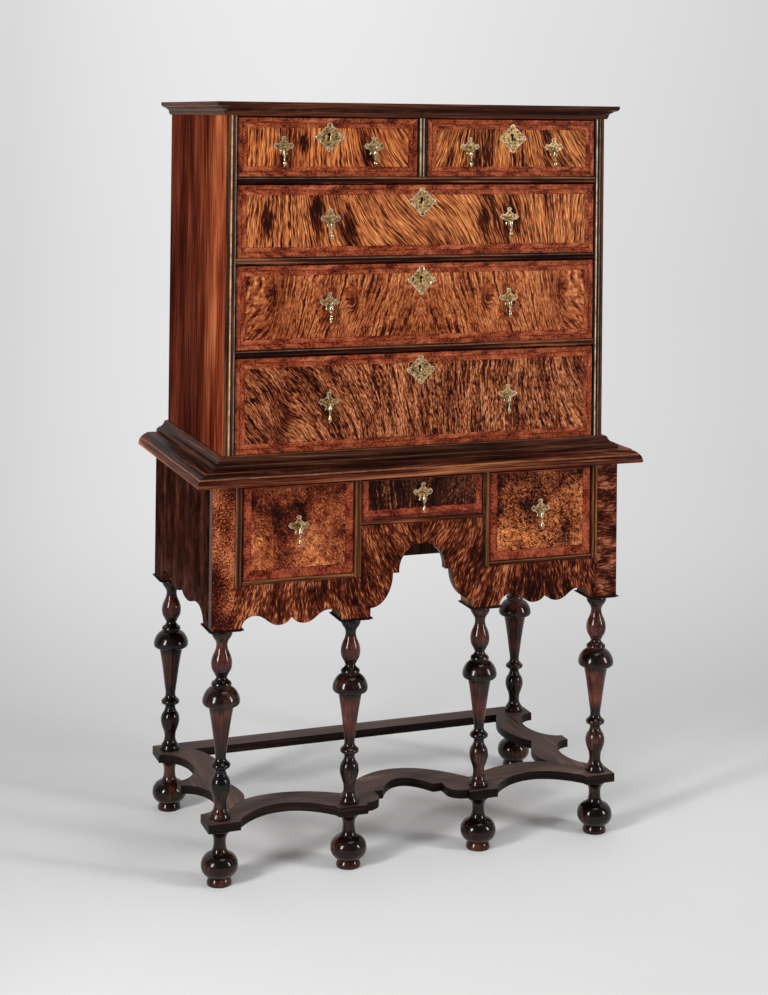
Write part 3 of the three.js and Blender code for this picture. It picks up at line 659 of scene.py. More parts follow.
def figured_veneer(
    name, places, slopes, tones, seed, marks=(), shade=(), mirrored=False,
    wander=0.02, cover=0, depth=0.5, specks=0.3, length=1,
):
    """Veneer whose dark streaks lean by a slope that changes from left to right."""
    paint = Paint(name, specular=0.06)
    sideways, up, half, _ = from_middle(paint, places)
    across, flow = leaning(paint, sideways, up, half, slopes, mirrored)
    flow = flow + paint.sway(across * 7, up * 9, seed, 2) * wander
    flow = flow + paint.sway(across * 60, up * 45, seed + 5, 2) * (wander * 0.35)
    flow, gloom = marked(paint, flow, across, up, marks)
    run = up / length
    broad = paint.noise(flow * 16, run * 4, seed + 1, 1)
    streaks = paint.noise(flow * 60, run * 6, seed + 2, 2, 0.6)
    threads = paint.noise(flow * 150, run * 11, seed + 3, 1, 0.6)
    flecks = paint.noise(flow * 230, run * 34, seed + 4, 1)
    clusters = broad * 0.25 + streaks * 0.3 + threads * 0.45 + flecks * 0.3 - 0.15 + gloom * 0.2
    dark = clusters.share(0.54 - cover, 0.58 - cover)
    pores = (paint.noise(flow * 240, run * 60, seed + 6, 1) + broad * 0.25 - 0.125).share(0.56, 0.61)
    grit = paint.noise(flow * 430, run * 150, seed + 7, 1)
    value = (threads - 0.5) * 2.3 + (flecks - 0.5) * 1.3 + (streaks - 0.5) * 1 + (grit - 0.5) * 1.2 + 0.66
    value = value - dark * depth - pores * specks
    for low, high, amount in shade:
        value = value + sideways.share(low * MM, high * MM) * amount
    return veneer(paint, value, tones)


def burl_veneer(name, places, tones, seed, curls=0.4):
    """Veneer with fine black specks and curls, and large dark blotches over a mottled ground."""
    paint = Paint(name, specular=0.06)
    across, up, _, half = from_middle(paint, places)
    swirl = paint.sway(across * 30, up * 30, seed, 2) * 0.03
    warped, raised = across + swirl, up - swirl
    mottle = paint.sway(warped * 80, raised * 75, seed + 1, 2, 0.65)
    clouds = paint.sway(across * 14, up * 14, seed + 2, 2)
    grit = paint.noise(warped * 230, raised * 210, seed + 3, 1)
    curl = abs(paint.sway(warped * 110, raised * 110, seed + 4, 1))
    height = up.share(-half, half)
    specks = (grit + clouds * 0.45 + mottle * 0.4 + height * 0.05).share(0.48, 0.54)
    blots = (mottle + clouds * 1.2 + height * 0.1).share(0.16, 0.28)
    value = mottle * 1.9 + (grit - 0.5) * 1.9 + 0.84 - specks * 0.58 - blots * 0.35 - height * 0.12
    return veneer(paint, value - curl.share(0.045, 0.01) * curls, tones)


def banding(name, tones, slope, seed, width=BAND):
    """A crossband strip: slanting grain, and darker along both edges."""
    paint = Paint(name, specular=0.05)
    along, across = paint.strip()
    slanted = along + across * (slope * width * MM)
    bands = paint.sway(slanted * 30, across * 0.6, seed, 2)
    lines = paint.sway(slanted * 250, across * 2.5, seed + 1, 1, 0.6)
    spots = paint.noise(slanted * 60, across * 1.5, seed + 2, 1).share(0.58, 0.68)
    edge = abs(across - 0.5).share(0.42, 0.49)
    value = bands * 1.7 + lines * 1.5 + 0.54 - spots * 0.14 - edge * 0.45
    paint.rough(value, *VENEER_ROUGHNESS)
    return paint.done(paint.tones(value, tones))


def beaded(name, tones, across, along, seed, places):
    """Dark bead wood with painted highlight lines on its crests, partly rubbed wear, and painted shade lines
    in its quirks.
    """
    paint = Paint(name, specular=0.06)
    value = grain(paint, paint.places[across], paint.places[along], seed)
    paint.rough(value, 0.36, 0.5)
    colour = paint.tones(value, tones)
    return paint.done(paint.lines(colour, paint.places[across], paint.places[along], places, seed + 3))


def moulded(name, tones, seed, places, half, front, side_places=()):
    """Moulding wood with painted highlight lines on its crests and painted shade lines in its hollows, and
    more of them on its sides.
    """
    paint = Paint(name, specular=0.06)
    x, y, z = paint.x, paint.y, paint.z
    along = x + y
    outward = (abs(x) - half * MM).at_least(front * MM - y)
    value = grain(paint, z + outward * 0.3, along, seed, 60, 420, 3.8)
    paint.rough(value, 0.4, 0.5)
    colour = paint.lines(paint.tones(value, tones), z, along, places, seed + 3)
    if side_places:
        on_sides = abs(x).share(*[(half + out) * MM for out in SIDE_FADE])
        lined = paint.lines(colour, z, along, side_places, seed + 5)
        colour = paint.mix(on_sides, colour, lined)
    return paint.done(colour)


def front_place(x0, x1, floor, ceiling):
    """Where a drawer front lies in its opening: left, right, bottom and top."""
    return (x0 + SIDE_PLAY, x1 - SIDE_PLAY, floor + GAP, ceiling - TOP_PLAY)


LOW, MIDDLE, HIGH = [front_place(-OPENING_HALF, OPENING_HALF, *level) for level in LEVELS[:3]]
TOP_LEFT = front_place(-OPENING_HALF, -POST_HALF, *LEVELS[3])
TOP_RIGHT = front_place(POST_HALF, OPENING_HALF, *LEVELS[3])
BASE_LEFT = front_place(-OPENING_OUTER, -OPENING_INNER, SIDE_FLOOR, OPENING_TOP)
BASE_RIGHT = front_place(OPENING_INNER, OPENING_OUTER, SIDE_FLOOR, OPENING_TOP)
BASE_CENTRE = front_place(-CENTRE_OPENING, CENTRE_OPENING, CENTRE_FLOOR, OPENING_TOP)

# Marks of a veneer: right, up, radius, pull and darkness. Shades: from, to and amount
veneers = {
    "top_left": figured_veneer(
        "figured walnut, top left", TOP_LEFT, [0, 0, 0, 0, 0.3, 0.6, 0.9],
        "#220702 #6b2b13 #9b5029 #c0723c #dd925c", 3,
        [(-54, 10, 9, 0, 0.9), (-98, -20, 8, 0, 0.6), (85, -12, 20, 0, 0.5)],
        wander=0.013, cover=0.006, depth=0.72, length=2.8,
    ),
    "top_right": figured_veneer(
        "figured walnut, top right", TOP_RIGHT, [-0.5, -0.3, 0, 0, 0.3, 0.6, 0.9],
        "#1b0401 #5d240e #935028 #c17640 #e29b63", 11,
        [(-60, 0, 20, 0, 0.3)],
        wander=0.013, cover=0.022, depth=0.72, length=2.6,
    ),
    "high": figured_veneer(
        "figured walnut, high", HIGH, [-0.2, 0, 0.3, 0.7, 1, 0.6, 0.3, 0.15, -0.4],
        "#200601 #5f250f #98532e #c77b47 #e79e61", 17,
        [
            (-345, 0, 12, 0, 0.6), (-232, 25, 14, 0, 0.9), (-160, -25, 20, 0, 0.5),
            (206, 0, 18, 0, 0.7), (145, 0, 12, 0, 0.5),
        ],
        [(-240, -140, 0.05), (-20, 80, -0.05), (300, 380, 0.07)],
        wander=0.013, cover=0.02, depth=0.72, length=2.6,
    ),
    "middle": figured_veneer(
        "figured walnut, middle", MIDDLE, [0.3] * 7,
        "#240602 #5d2410 #854123 #a86037 #d28a57", 23,
        [(150, 12, 12, 22, 0.8), (330, -10, 45, 34, 0.1), (327, 28, 12, 8, 0.6), (205, 0, 16, 10, 0.5)],
        [(0, 280, 0.1)],
        mirrored=True, cover=0.006, depth=0.56, length=1.2,
    ),
    "low": figured_veneer(
        "figured walnut, low", LOW, [0.8, 0.8, 0.6, 0.2, 0.1, 0, 0.2, 0.8],
        "#170401 #4a1909 #773d23 #ad6942 #d89364", 31,
        [(-300, -20, 24, 20, 0.4), (-205, 0, 12, 12, 0.4), (60, 20, 20, 0, 0.3)],
        cover=0.02, depth=0.6, specks=0.4, length=1.2,
    ),
    "base_left": burl_veneer(
        "burl, base left", BASE_LEFT, "#170401 #4b1a0c #813c23 #b96c3f #e4945d", 41, 0.1,
    ),
    "base_right": burl_veneer(
        "burl, base right", BASE_RIGHT, "#150301 #501e0c #8e4c2c #cb7a46 #f19d5f", 47, 0.5,
    ),
    "base_centre": figured_veneer(
        "figured walnut, base centre", BASE_CENTRE, [0.2, 0, 0.2, 0, -0.2, 0, 0.2],
        "#0b0201 #1b0603 #2b0f08 #492215 #8c5437", 53,
        shade=[(40, 120, 0.18)], cover=0.04, depth=0.36,
    ),
}

band_tones = "#2f0d08 #592013 #7d371f #954a2d #b16345"
base_tones = "#320b05 #5e2012 #7c3523 #8f432c #a5573b"
dark_tones = "#200a06 #3c1610 #522018 #662c20 #7c3c2a"
band_rising = banding("crossband, rising grain", band_tones, 1, 61)
band_falling = banding("crossband, falling grain", band_tones, -1, 67)
base_band = banding("crossband, lower drawers", base_tones, 0.1, 68, BASE_BAND)
dark_band = banding("crossband, dark", dark_tones, 0.1, 69, DARK_BAND)

# Lines of a bead or moulding: place, half width, colour and strength. The lighter lines are painted
# highlights, partly rubbed wear, and the darkest ones painted shade in quirks and gaps
# Near-black colour of the painted shade lines
SHADE_BLACK = "#060302"
rail_tones = "#080201 #180604 #30120a #522613 #865034"
stile_tones = "#100603 #1e0f08 #30190e #482818 #6a422a"
bead_tones = "#180804 #2e150a #482612 #663a20 #8a5834"
left_stile_wood = beaded("left stile walnut", stile_tones, "x", "z", 73, [
    (-418.6, 1.7, "#dcb48c", 0.95), (-414.4, 1.3, SHADE_BLACK, 0.8), (-409.7, 0.9, "#a8a4a0", 0.8),
    (-407.6, 0.8, SHADE_BLACK, 0.9), (-422.6, 0.8, SHADE_BLACK, 0.8),
])
right_stile_wood = beaded("right stile walnut", stile_tones, "x", "z", 74, [
    (407.5, 1.2, SHADE_BLACK, 0.9), (411.5, 1.9, "#d8c8b0", 0.95), (414.9, 1, SHADE_BLACK, 0.9),
    (418.6, 1.2, "#94745a", 0.9), (422.6, 0.9, SHADE_BLACK, 0.9), (426.3, 1.7, "#704a2e", 0.8),
])
post_wood = beaded("post walnut", stile_tones, "x", "z", 75, [
    (-9.4, 1.5, SHADE_BLACK, 1), (-5.3, 2, "#d0bc94", 0.95), (-1.2, 1.6, "#5a3820", 0.8),
    (2.1, 0.9, "#c8bca8", 0.9), (7.2, 4.4, SHADE_BLACK, 0.95),
])
outer_left_bead = beaded("lower outer left bead walnut", bead_tones, "x", "z", 79, [
    (-407.3, 1.1, "#8a6a50", 0.75), (-397.1, 0.6, "#4a3a32", 0.7), (-394.4, 2, SHADE_BLACK, 1),
])
inner_left_bead = beaded("lower inner left bead walnut", bead_tones, "x", "z", 80, [
    (-152.7, 0.9, SHADE_BLACK, 0.9), (-149.7, 1.1, "#86623e", 0.7), (-145, 3.2, "#5c341a", 0.7),
    (-140.4, 1.1, "#7a5232", 0.7), (-137.5, 1, SHADE_BLACK, 1),
])
inner_right_bead = beaded("lower inner right bead walnut", bead_tones, "x", "z", 81, [
    (140.3, 3.6, SHADE_BLACK, 1), (145.7, 1.1, "#8a6a46", 0.7), (149.6, 2.2, "#6c3a1c", 0.75),
    (152.7, 0.8, "#2a120a", 0.8),
])
outer_right_bead = beaded("lower outer right bead walnut", bead_tones, "x", "z", 82, [
    (393.9, 1.2, SHADE_BLACK, 1), (398, 1.1, "#7a6658", 0.75), (401.4, 1.2, "#160a06", 0.9),
    (405.2, 2, "#a0662f", 0.8), (408.6, 0.7, SHADE_BLACK, 1),
])
lower_bead_level = beaded("lower bead walnut, level", bead_tones, "z", "x", 83, [
    (SIDE_FLOOR - 1.8, 1, "#80603c", 0.75), (SIDE_FLOOR - 6.4, 1.6, "#1c0c08", 0.8),
    (SIDE_FLOOR - 9, 1.2, SHADE_BLACK, 0.9),
])
centre_bead_level = beaded("lower bead walnut, centre", rail_tones, "z", "x", 84, [
    (CENTRE_FLOOR - 2, 1, "#46301e", 0.7),
])


def rail_material(name, ceiling):
    """Bead wood with a painted highlight line along the upper bead and painted shade lines below it, at the
    heights of a rail.
    """
    floor = ceiling + RAIL_HEIGHT
    return beaded(f"rail walnut, {name}", rail_tones, "z", "x", 71 + floor * 0.01, [
        (floor - 3, 1.1, "#78644e", 0.75), (floor - 7, 3, "#2c120c", 0.5),
        (ceiling + 1.6, 2.2, SHADE_BLACK, 1),
    ])


# The mouldings' lighter lines are painted highlights on their crests, and the darkest ones painted shade in
# their hollows
cornice_wood = moulded("cornice walnut", "#140401 #200b05 #331610 #4b261a #70422e", 89, [
    (1562.8, 0.9, "#6a4a30", 0.6), (1566.4, 2.2, "#5c2e1c", 0.5), (1573.6, 4.4, "#0c0504", 0.8),
    (1580.5, 0.9, "#5e3c28", 0.5),
], UPPER_HALF, UPPER_FRONT, [
    (1573.4, 3.4, "#5e504a", 0.75), (1580.5, 1, "#8c7058", 0.7), (1568.5, 1.4, SHADE_BLACK, 0.9),
])
waist_wood = moulded("waist walnut", "#0a0201 #190703 #33160d #4f291b #7a4e36", 90, [
    (867.3, 0.8, "#8a6444", 0.5), (851.2, 0.8, "#7a5436", 0.5), (843.9, 1.4, SHADE_BLACK, 0.9),
    (856, 2.2, SHADE_BLACK, 0.5),
], UPPER_HALF, UPPER_FRONT)
table_wood = moulded("table edge walnut", "#0c0201 #240b05 #4a2014 #7a452b #aa704a", 91, [
    (839.5, 2.4, "#1c0a05", 0.8), (832.4, 1.4, "#a86a3c", 0.6), (820, 2.6, "#7c3c22", 0.5),
    (815.6, 0.8, "#7a4c30", 0.7), (823.6, 1, "#120604", 0.7),
], LOWER_HALF, LOWER_FRONT)

# Plain woods: name, tones from dark to light, axis across the grain, axis along it and seed
inner_tones = "#4a2f1c #654227 #7c5233 #906541 #a67a52"
# The back panels are very dark everywhere, as painted shade for the inside seen through the skirt's arch
panel_tones_darkened_for_shade = "#120a06 #20120b #2e1b11 #3c2618 #4e3424"
top_tones = "#0e0503 #170a07 #22120e #32201b #4c3c36"
edge_tones = "#1c0c07 #29130c #361c13 #46281b #5c3826"
stretcher_tones = "#20110e #37241f #4e3730 #614a41 #81665c"
stretcher_edge_tones = "#040201 #0a0504 #120908 #1c100d #30201a"
lipping_tones = "#140604 #200c08 #30140c #442014 #5e3420"
top_wood = wood("top walnut", top_tones, "y", "x", 97, specular=0.04)
inner_wood = wood("inner wood", inner_tones, "y", "x", 107, (0.6, 0.8))
panel_wood = wood("back panel wood", panel_tones_darkened_for_shade, "x", "z", 109, (0.6, 0.8), specular=0.1)
runner_wood = wood("runner wood", inner_tones, "z", "y", 113, (0.6, 0.8))
edge_wood = wood("drawer edge wood", edge_tones, "z", "x", 127)
stretcher_edge = wood("stretcher edge", stretcher_edge_tones, "z", "x", 131, specular=0.1)
stretcher_top = wood("stretcher top", stretcher_tones, "y", "x", 137, (0.5, 0.7), 30)
side_stretcher_top = wood("side stretcher top", stretcher_tones, "x", "y", 139, (0.5, 0.7), 30)
lipping = wood("arch lipping", lipping_tones, "z", "x", 149, specular=0)


def upper_side_material():
    """Vertical grain, redder and lighter towards the front edge."""
    paint = Paint("upper side walnut", specular=0)
    y, z = paint.y, paint.z
    value = grain(paint, y, z, 151, 12, 180)
    value = value + paint.sway(y * 9, z * 3, 5, 2)
    plain = paint.tones(value, "#200a06 #33130b #4b1e14 #622d1e #7c3c28")
    warm = paint.tones(value, "#461508 #602516 #7d3920 #9c5232 #c7764e")
    forward = y.share((UPPER_FRONT + WARM_FROM) * MM, (UPPER_FRONT + WARM_FULL) * MM)
    paint.rough(value, 0.4, 0.5)
    paint.bump(value)
    return paint.done(paint.mix(forward, plain, warm))


def lower_side_material():
    """Dark vertical grain under cloudy polish, with a painted sheen along the foot of the board."""
    paint = Paint("lower side walnut", specular=0)
    y, z = paint.y, paint.z
    value = grain(paint, y, z, 103, strength=2.6)
    clouds = paint.sway(y * 26, z * 18, 104, 4, 0.65)
    tones = "#0e0503 #1b0b07 #2c150f #3e1f18 #5c3524"
    colour = paint.tones(value + clouds * 1.3, tones)
    # Painted sheen: a paler colour in patches near the foot of the board
    foot = z.share(0.61, 0.55)
    painted_sheen = foot * paint.noise(y * 40, z * 30, 105, 3, 0.65).share(0.4, 0.7)
    paint.rough(value, 0.36, 0.5)
    paint.bump(value)
    return paint.done(paint.mix(painted_sheen * 0.5, colour, "#5c4238"))


def skirt_flecks(paint, up):
    """Short light flecks that lean away from the middle of each side drawer."""
    x = paint.x
    beside = abs(x) - (OPENING_INNER + OPENING_OUTER) / 2 * MM
    lean = (beside * -5.5).share(-1, 1, -0.55, 0.55) * x.share(-0.001, 0.001, 1, -1)
    flow = x + lean * up + paint.sway(x * 16, up * 14, 7, 2) * 0.03
    broad = paint.noise(flow * 16, up * 7, 163, 2)
    streaks = paint.noise(flow * 110, up * 20, 167, 2, 0.6)
    flecks = paint.noise(flow * 300, up * 70, 173, 1)
    bright = (flecks + (broad - 0.5) * 0.5 + (streaks - 0.5) * 0.5).share(0.54, 0.62)
    value = (broad - 0.5) * 1.2 + (streaks - 0.5) * 1.4 + (flecks - 0.5) * 1.4 + 0.38 + bright * 0.2
    return value + x.share(-0.3, -0.1, 0.12, -0.03) - x.share(0.12, 0.25) * 0.12


def stile_burl(paint, up):
    """Fine specks that get darker down the stile."""
    x = paint.x
    swirl = paint.sway(x * 60, up * 60, 179, 2) * 0.012
    grit = paint.sway((x + swirl) * 300, (up + swirl) * 280, 181, 1)
    cloud = paint.sway(x * 30, up * 16, 182, 1)
    return grit * 2.6 + 0.46 + cloud * 1.8 + up.share(0, 0.12, -0.25, 0.05)


def stile_ripples(paint):
    """Level ripples with darker and lighter patches."""
    x, z = paint.x, paint.z
    ripple = z + paint.sway(x * 90, z * 30, 183, 2) * 0.012
    waves = paint.sway(x * 50, ripple * 330, 191, 2, 0.6)
    patches = paint.sway(x * 30, z * 40, 193, 2)
    return waves * 2.8 + patches * 2.4 + 0.46


def apron_material():
    """Flecks over the skirt, burl on the left stile, ripples on the right one."""
    paint = Paint("apron veneer", specular=0.05)
    up = paint.z - CASE_BOTTOM * MM
    flecks = skirt_flecks(paint, up)
    skirt = paint.tones(flecks, "#160401 #3d1307 #5e2918 #7f4025 #b26f44")
    burl = paint.tones(stile_burl(paint, up), "#230903 #4a190c #6d2f1d #934e2f #be7347")
    ripples = paint.tones(stile_ripples(paint), "#1d0602 #381207 #4e2012 #6d3725 #9e6043")
    paint.rough(flecks, 0.4, 0.5)
    stile = (OPENING_OUTER + OPENING_INNER - CENTRE_OPENING) * MM
    bead = stile - STILE_FADE * MM
    left, right = paint.x.share(-bead, -stile), paint.x.share(bead, stile)
    return paint.done(paint.mix(right, paint.mix(left, skirt, burl), ripples))


def turned_material():
    """Dark polished turnings, with the red of the wood coming through in places."""
    paint = Paint("ebonised turnings", specular=0.3)
    x, y, z = paint.x, paint.y, paint.z
    patches = paint.sway(x * 18, y * 18, z * 16, 2)
    lines = paint.sway(x * 220, y * 220, z * 12, 2, 0.6)
    value = patches * 2.2 + lines * 1.1 + 0.47
    black = paint.tones(value, "#040101 #080302 #140806 #2c150f #4c2c20")
    red = paint.tones(value, "#1c0906 #2c110b #3e1a12 #50261c #663628")
    trumpet = z.share(0.262, 0.285) * z.share(0.358, 0.35)
    vase = z.share(0.425, 0.445) * z.share(0.492, 0.475) * 0.6
    ball = z.share(0.05, 0.02) * 0.4
    smears = paint.noise(x * 60, y * 60, z * 90, 3, 0.65)
    paint.rough(smears, 0.09, 0.2)
    return paint.done(paint.mix(trumpet.at_least(vase).at_least(ball), black, red))


def brass_material(name, tones, low=0.3, high=0.5):
    """Old brass: dark in the hollows and paler where it is rubbed."""
    paint = Paint(name, metallic=1)
    x, y, z = paint.x, paint.y, paint.z
    tarnish = paint.sway(x * 190, z * 190, y * 130, 2, 0.6)
    chased = abs(paint.sway(x * 150, z * 150, 5, 1)).share(0.01, 0.07)
    value = tarnish * 2.2 + 0.32 + chased * 0.3
    paint.rough(value, high, low)
    paint.bump(value, 0.0003)
    return paint.done(paint.tones(value, tones))


def keyhole_material():
    paint = Paint("keyhole shadow", 0.8)
    value = paint.noise(paint.x * 300, paint.z * 300, 1, 2)
    return paint.done(paint.tones(value, "#050302 #080504 #0b0705 #0e0907 #120c09"))


upper_side_wood = upper_side_material()
lower_side_wood = lower_side_material()
apron_wood = apron_material()
turned_wood = turned_material()
brass_tones = "#2c1e0e #6a5030 #a88858 #d0ac7c #f2d2a4"
# The rims' paler brass is partly rubbed wear and partly painted highlight
rim_wear_and_highlight_tones = "#8e7852 #b89e78 #d6bc98 #ead8bc #f8ecd8"
drop_tones = "#2e2416 #68583c #9e8c68 #c8b694 #ecdfc8"
brass = brass_material("old brass", brass_tones)
rim_brass_worn_and_highlit = brass_material("rubbed brass with painted highlight", rim_wear_and_highlight_tones, 0.3, 0.45)
drop_brass = brass_material("worn brass", drop_tones, 0.26, 0.4)
keyhole_dark = keyhole_material()


# Mouldings


def bead_section(width, arches, steps=9):
    """One or two half-rounds side by side on a flat seat: places across and out."""
    half = width / arches / 2
    section = [(0, -BEAD_SEAT)]
    for arch in range(arches):
        for step in range(steps + 1):
            angle = math.pi * (1 - step / steps)
            place = (half * (arch * 2 + 1) + half * math.cos(angle), BEAD_PROUD * math.sin(angle))
            if place != section[-1]:
                section.append(place)
    section.append((width, -BEAD_SEAT))
    return section


def upright_bead(piece, x0, x1, front, z0, z1, material):
    stations = [lambda a, out, z=z: (x0 + a, front - out, z) for z in (z0, z1)]
    piece.run(bead_section(x1 - x0, 2), stations, material)


def level_bead(piece, x0, x1, front, z0, z1, material, arches=1):
    stations = [lambda a, out, x=x: (x, front - out, z0 + a) for x in (x0, x1)]
    piece.run(bead_section(z1 - z0, arches), stations, material)


def carried_round(piece, section, half, front, material):
    """Carry a section round the left side, the front and the right side, with mitred corners."""
    stations = [
        lambda out, z: (-half - out, BACK, z),
        lambda out, z: (-half - out, front - out, z),
        lambda out, z: (half + out, front - out, z),
        lambda out, z: (half + out, BACK, z),
    ]
    piece.run(section, stations, material)


def profile(runs, out, low, high, lap):
    """A moulding's closed section from runs of shares, with its inner edge at a lap."""
    line = [(a * out, low + b * (high - low)) for a, b in joined(runs, 5)]
    return [*line, (lap, high), (lap, low)]


waist_runs = [
    [(1, 0), (1, 0.26)],
    [(0.93, 0.31), (0.84, 0.32)],
    [(0.83, 0.42)],
    [(0.72, 0.44), (0.58, 0.5), (0.46, 0.62), (0.38, 0.78), (0.33, 0.92)],
    [(0.26, 0.93)],
    [(0.24, 0.98), (0.16, 1)],
]
cornice_runs = [
    [(0.2, 0)],
    [(0.2, 0.08), (0.27, 0.14)],
    [(0.28, 0.26), (0.34, 0.38), (0.44, 0.46), (0.56, 0.5)],
    [(0.57, 0.58)],
    [(0.68, 0.59), (0.8, 0.62), (0.91, 0.68), (0.96, 0.77)],
    [(1, 0.78)],
    [(1, 1)],
]
table_runs = [
    [(0.72, 0)],
    [(0.9, 0.01), (0.98, 0.07), (1, 0.16), (0.985, 0.26)],
    [(0.97, 0.27)],
    [(0.96, 0.42), (0.9, 0.58), (0.8, 0.74), (0.68, 0.86), (0.56, 0.93)],
    [(0.55, 1)],
]


# Upper case


def upper_side(name, side):
    """A side board with its stile and bead, and the guides and runners of the drawers."""
    inner, outer = on_side(side, UPPER_HALF - SIDE_BOARD, UPPER_HALF)
    stile = on_side(side, OPENING_HALF, UPPER_HALF - GAP)
    bead = on_side(side, OPENING_HALF, OPENING_HALF + RAIL_HEIGHT)
    guide = on_side(side, OPENING_HALF, UPPER_HALF - SIDE_BOARD + GAP)
    runner = on_side(side, OPENING_HALF - RUNNER_WIDTH, UPPER_HALF - SIDE_BOARD + GAP)
    front, top = UPPER_FRONT, TOP_BOARD_BOTTOM - GAP
    stile_wood = left_stile_wood if side < 0 else right_stile_wood
    piece = Piece()
    piece.box(inner, outer, front + 2 * GAP, BACK, UPPER_BOTTOM, top, upper_side_wood)
    piece.box(*stile, front, front + FACING, UPPER_BOTTOM, top - HAIR, stile_wood)
    piece.box(*guide, front + LAP, front + STILE_DEPTH, UPPER_BOTTOM, top - 2 * HAIR, stile_wood)
    upright_bead(piece, *bead, front, WAIST_TOP + GAP, CORNICE_BOTTOM - GAP, stile_wood)
    run_front, run_back = front + RAIL_DEPTH + GAP, BACK - BACK_PANEL - GAP
    for index, (floor, ceiling) in enumerate(LEVELS):
        low = floor - GAP if index else floor + GAP
        piece.box(*guide, run_front, run_back, low, floor + GUIDE, runner_wood)
        if index:
            piece.box(*runner, run_front, run_back - HAIR, floor - RUNNER, floor, runner_wood)
    piece.make(name, "case", [name])


def upper_bottom_board():
    """The bottom board with the waist moulding."""
    piece = Piece()
    section = profile(waist_runs, WAIST_OUT, UPPER_BOTTOM, WAIST_TOP, GAP)
    carried_round(piece, section, UPPER_HALF, UPPER_FRONT, waist_wood)
    inner = UPPER_HALF - SIDE_BOARD - GAP
    stile_back = UPPER_FRONT + STILE_DEPTH + GAP
    half = OPENING_HALF - GAP
    low, high = UPPER_BOTTOM + HAIR, WAIST_TOP - HAIR / 2
    piece.box(-half, half, UPPER_FRONT - FACING, stile_back + DEEP_LAP, low, high, edge_wood)
    piece.box(-inner, inner, stile_back, BACK - BACK_PANEL - GAP, UPPER_BOTTOM, WAIST_TOP, inner_wood)
    piece.make("upper_bottom_board", "case", ["upper_bottom_board"])


def upper_top_board():
    """The top board with the cornice moulding and the rail under it."""
    piece = Piece()
    section = profile(cornice_runs, CORNICE_OUT, CORNICE_BOTTOM, OVERALL_HEIGHT, GAP)
    carried_round(piece, section, UPPER_HALF, UPPER_FRONT, cornice_wood)
    reach, half = UPPER_HALF + LAP, OPENING_HALF - GAP
    low, high = TOP_BOARD_BOTTOM, OVERALL_HEIGHT - HAIR
    piece.box(-reach, reach, UPPER_FRONT - LAP, BACK - HAIR, low, high, top_wood)
    piece.box(-half, half, UPPER_FRONT, UPPER_FRONT + RAIL_DEPTH, TOP_RAIL_BOTTOM, low + GAP, cornice_wood)
    piece.make("upper_top_board", "case", ["upper_top_board"])


def rail(name, ceiling, divided=False):
    """A rail over a row of drawers. A divided one carries the post and the middle runner."""
    piece = Piece()
    half = OPENING_HALF - GAP
    floor = ceiling + RAIL_HEIGHT
    rail_wood = rail_material(name, ceiling)
    piece.box(-half, half, UPPER_FRONT, UPPER_FRONT + RAIL_DEPTH, ceiling, floor, rail_wood)
    level_bead(piece, -half, half, UPPER_FRONT, ceiling, floor, rail_wood, 2)
    if divided:
        low, top = floor - GAP, TOP_RAIL_BOTTOM - GAP
        post = (-POST_HALF, POST_HALF)
        run_front, run_back = UPPER_FRONT + RAIL_DEPTH - DEEP_LAP, BACK - BACK_PANEL - GAP
        run_half = POST_HALF + RUNNER_WIDTH
        piece.box(*post, UPPER_FRONT, UPPER_FRONT + STILE_DEPTH, low, top, post_wood)
        upright_bead(piece, *post, UPPER_FRONT, low, top, post_wood)
        piece.box(-run_half, run_half, run_front, run_back, floor - RUNNER + HAIR, floor - HAIR, runner_wood)
        piece.box(*post, run_front, run_back - HAIR, low, floor + GUIDE, runner_wood)
    piece.make(name, "case", [name])


# Lower case


def lower_side(name, side):
    """A side board with its skirt, and the blocks and the runner behind it."""
    front = LOWER_FRONT + LOWER_BOARD + GAP
    pad_front, pad_back = LOWER_FRONT + PAD, BACK - PAD
    skirt = Path(front, CASE_BOTTOM).line((pad_front, CASE_BOTTOM))
    skirt.scallop(pad_front, pad_back, CASE_BOTTOM, *SIDE_SCALLOP)
    skirt.line((BACK, CASE_BOTTOM), (BACK, LOWER_TOP), (front, LOWER_TOP))
    inner, outer = LOWER_HALF - LOWER_BOARD, LOWER_HALF
    piece = Piece()
    piece.slab(skirt.points, side_plane, inner * side, outer * side, lower_side_wood)
    block = on_side(side, LOWER_HALF - PAD, inner + DEEP_LAP)
    runner = on_side(side, LOWER_HALF - PAD - RUNNER_WIDTH, inner + DEEP_LAP - LAP)
    run_back = BACK - LOWER_BACK_PANEL - GAP
    low, high = CASE_BOTTOM + HAIR, CASE_BOTTOM + BLOCK_HEIGHT
    piece.box(*block, front, pad_front, low, high, runner_wood)
    piece.box(*block, pad_back, run_back, low, high, runner_wood)
    piece.box(*runner, front, run_back, SIDE_FLOOR - RUNNER, SIDE_FLOOR, runner_wood)
    piece.make(name, "case", [name])


def arch_half():
    """Right half of the skirt's arch, from its crown to the inner leg's pad."""
    middle, shoulder = CASE_BOTTOM + ARCH_RISE - ARCH_RADIUS, CASE_BOTTOM + ARCH_SHOULDER
    path = Path(0, CASE_BOTTOM + ARCH_RISE)
    path.arc(0, middle, ARCH_RADIUS, CROWN_ANGLE, 0)
    path.line((ARCH_RADIUS, shoulder), (ARCH_RADIUS + ARCH_LEDGE, shoulder))
    return path.quarter(INNER_LEG - LEG_IN, CASE_BOTTOM + ARCH_FOOT, "b")


def skirt_half():
    """Right half of the skirt's lower edge, from the crown of the arch to the right edge."""
    path = arch_half()
    path.line((INNER_LEG - LEG_IN, CASE_BOTTOM), (INNER_LEG + LEG_IN, CASE_BOTTOM))
    path.scallop(INNER_LEG + LEG_IN, LOWER_HALF - PAD, CASE_BOTTOM, *FRONT_SCALLOP)
    return path.line((LOWER_HALF, CASE_BOTTOM)).points


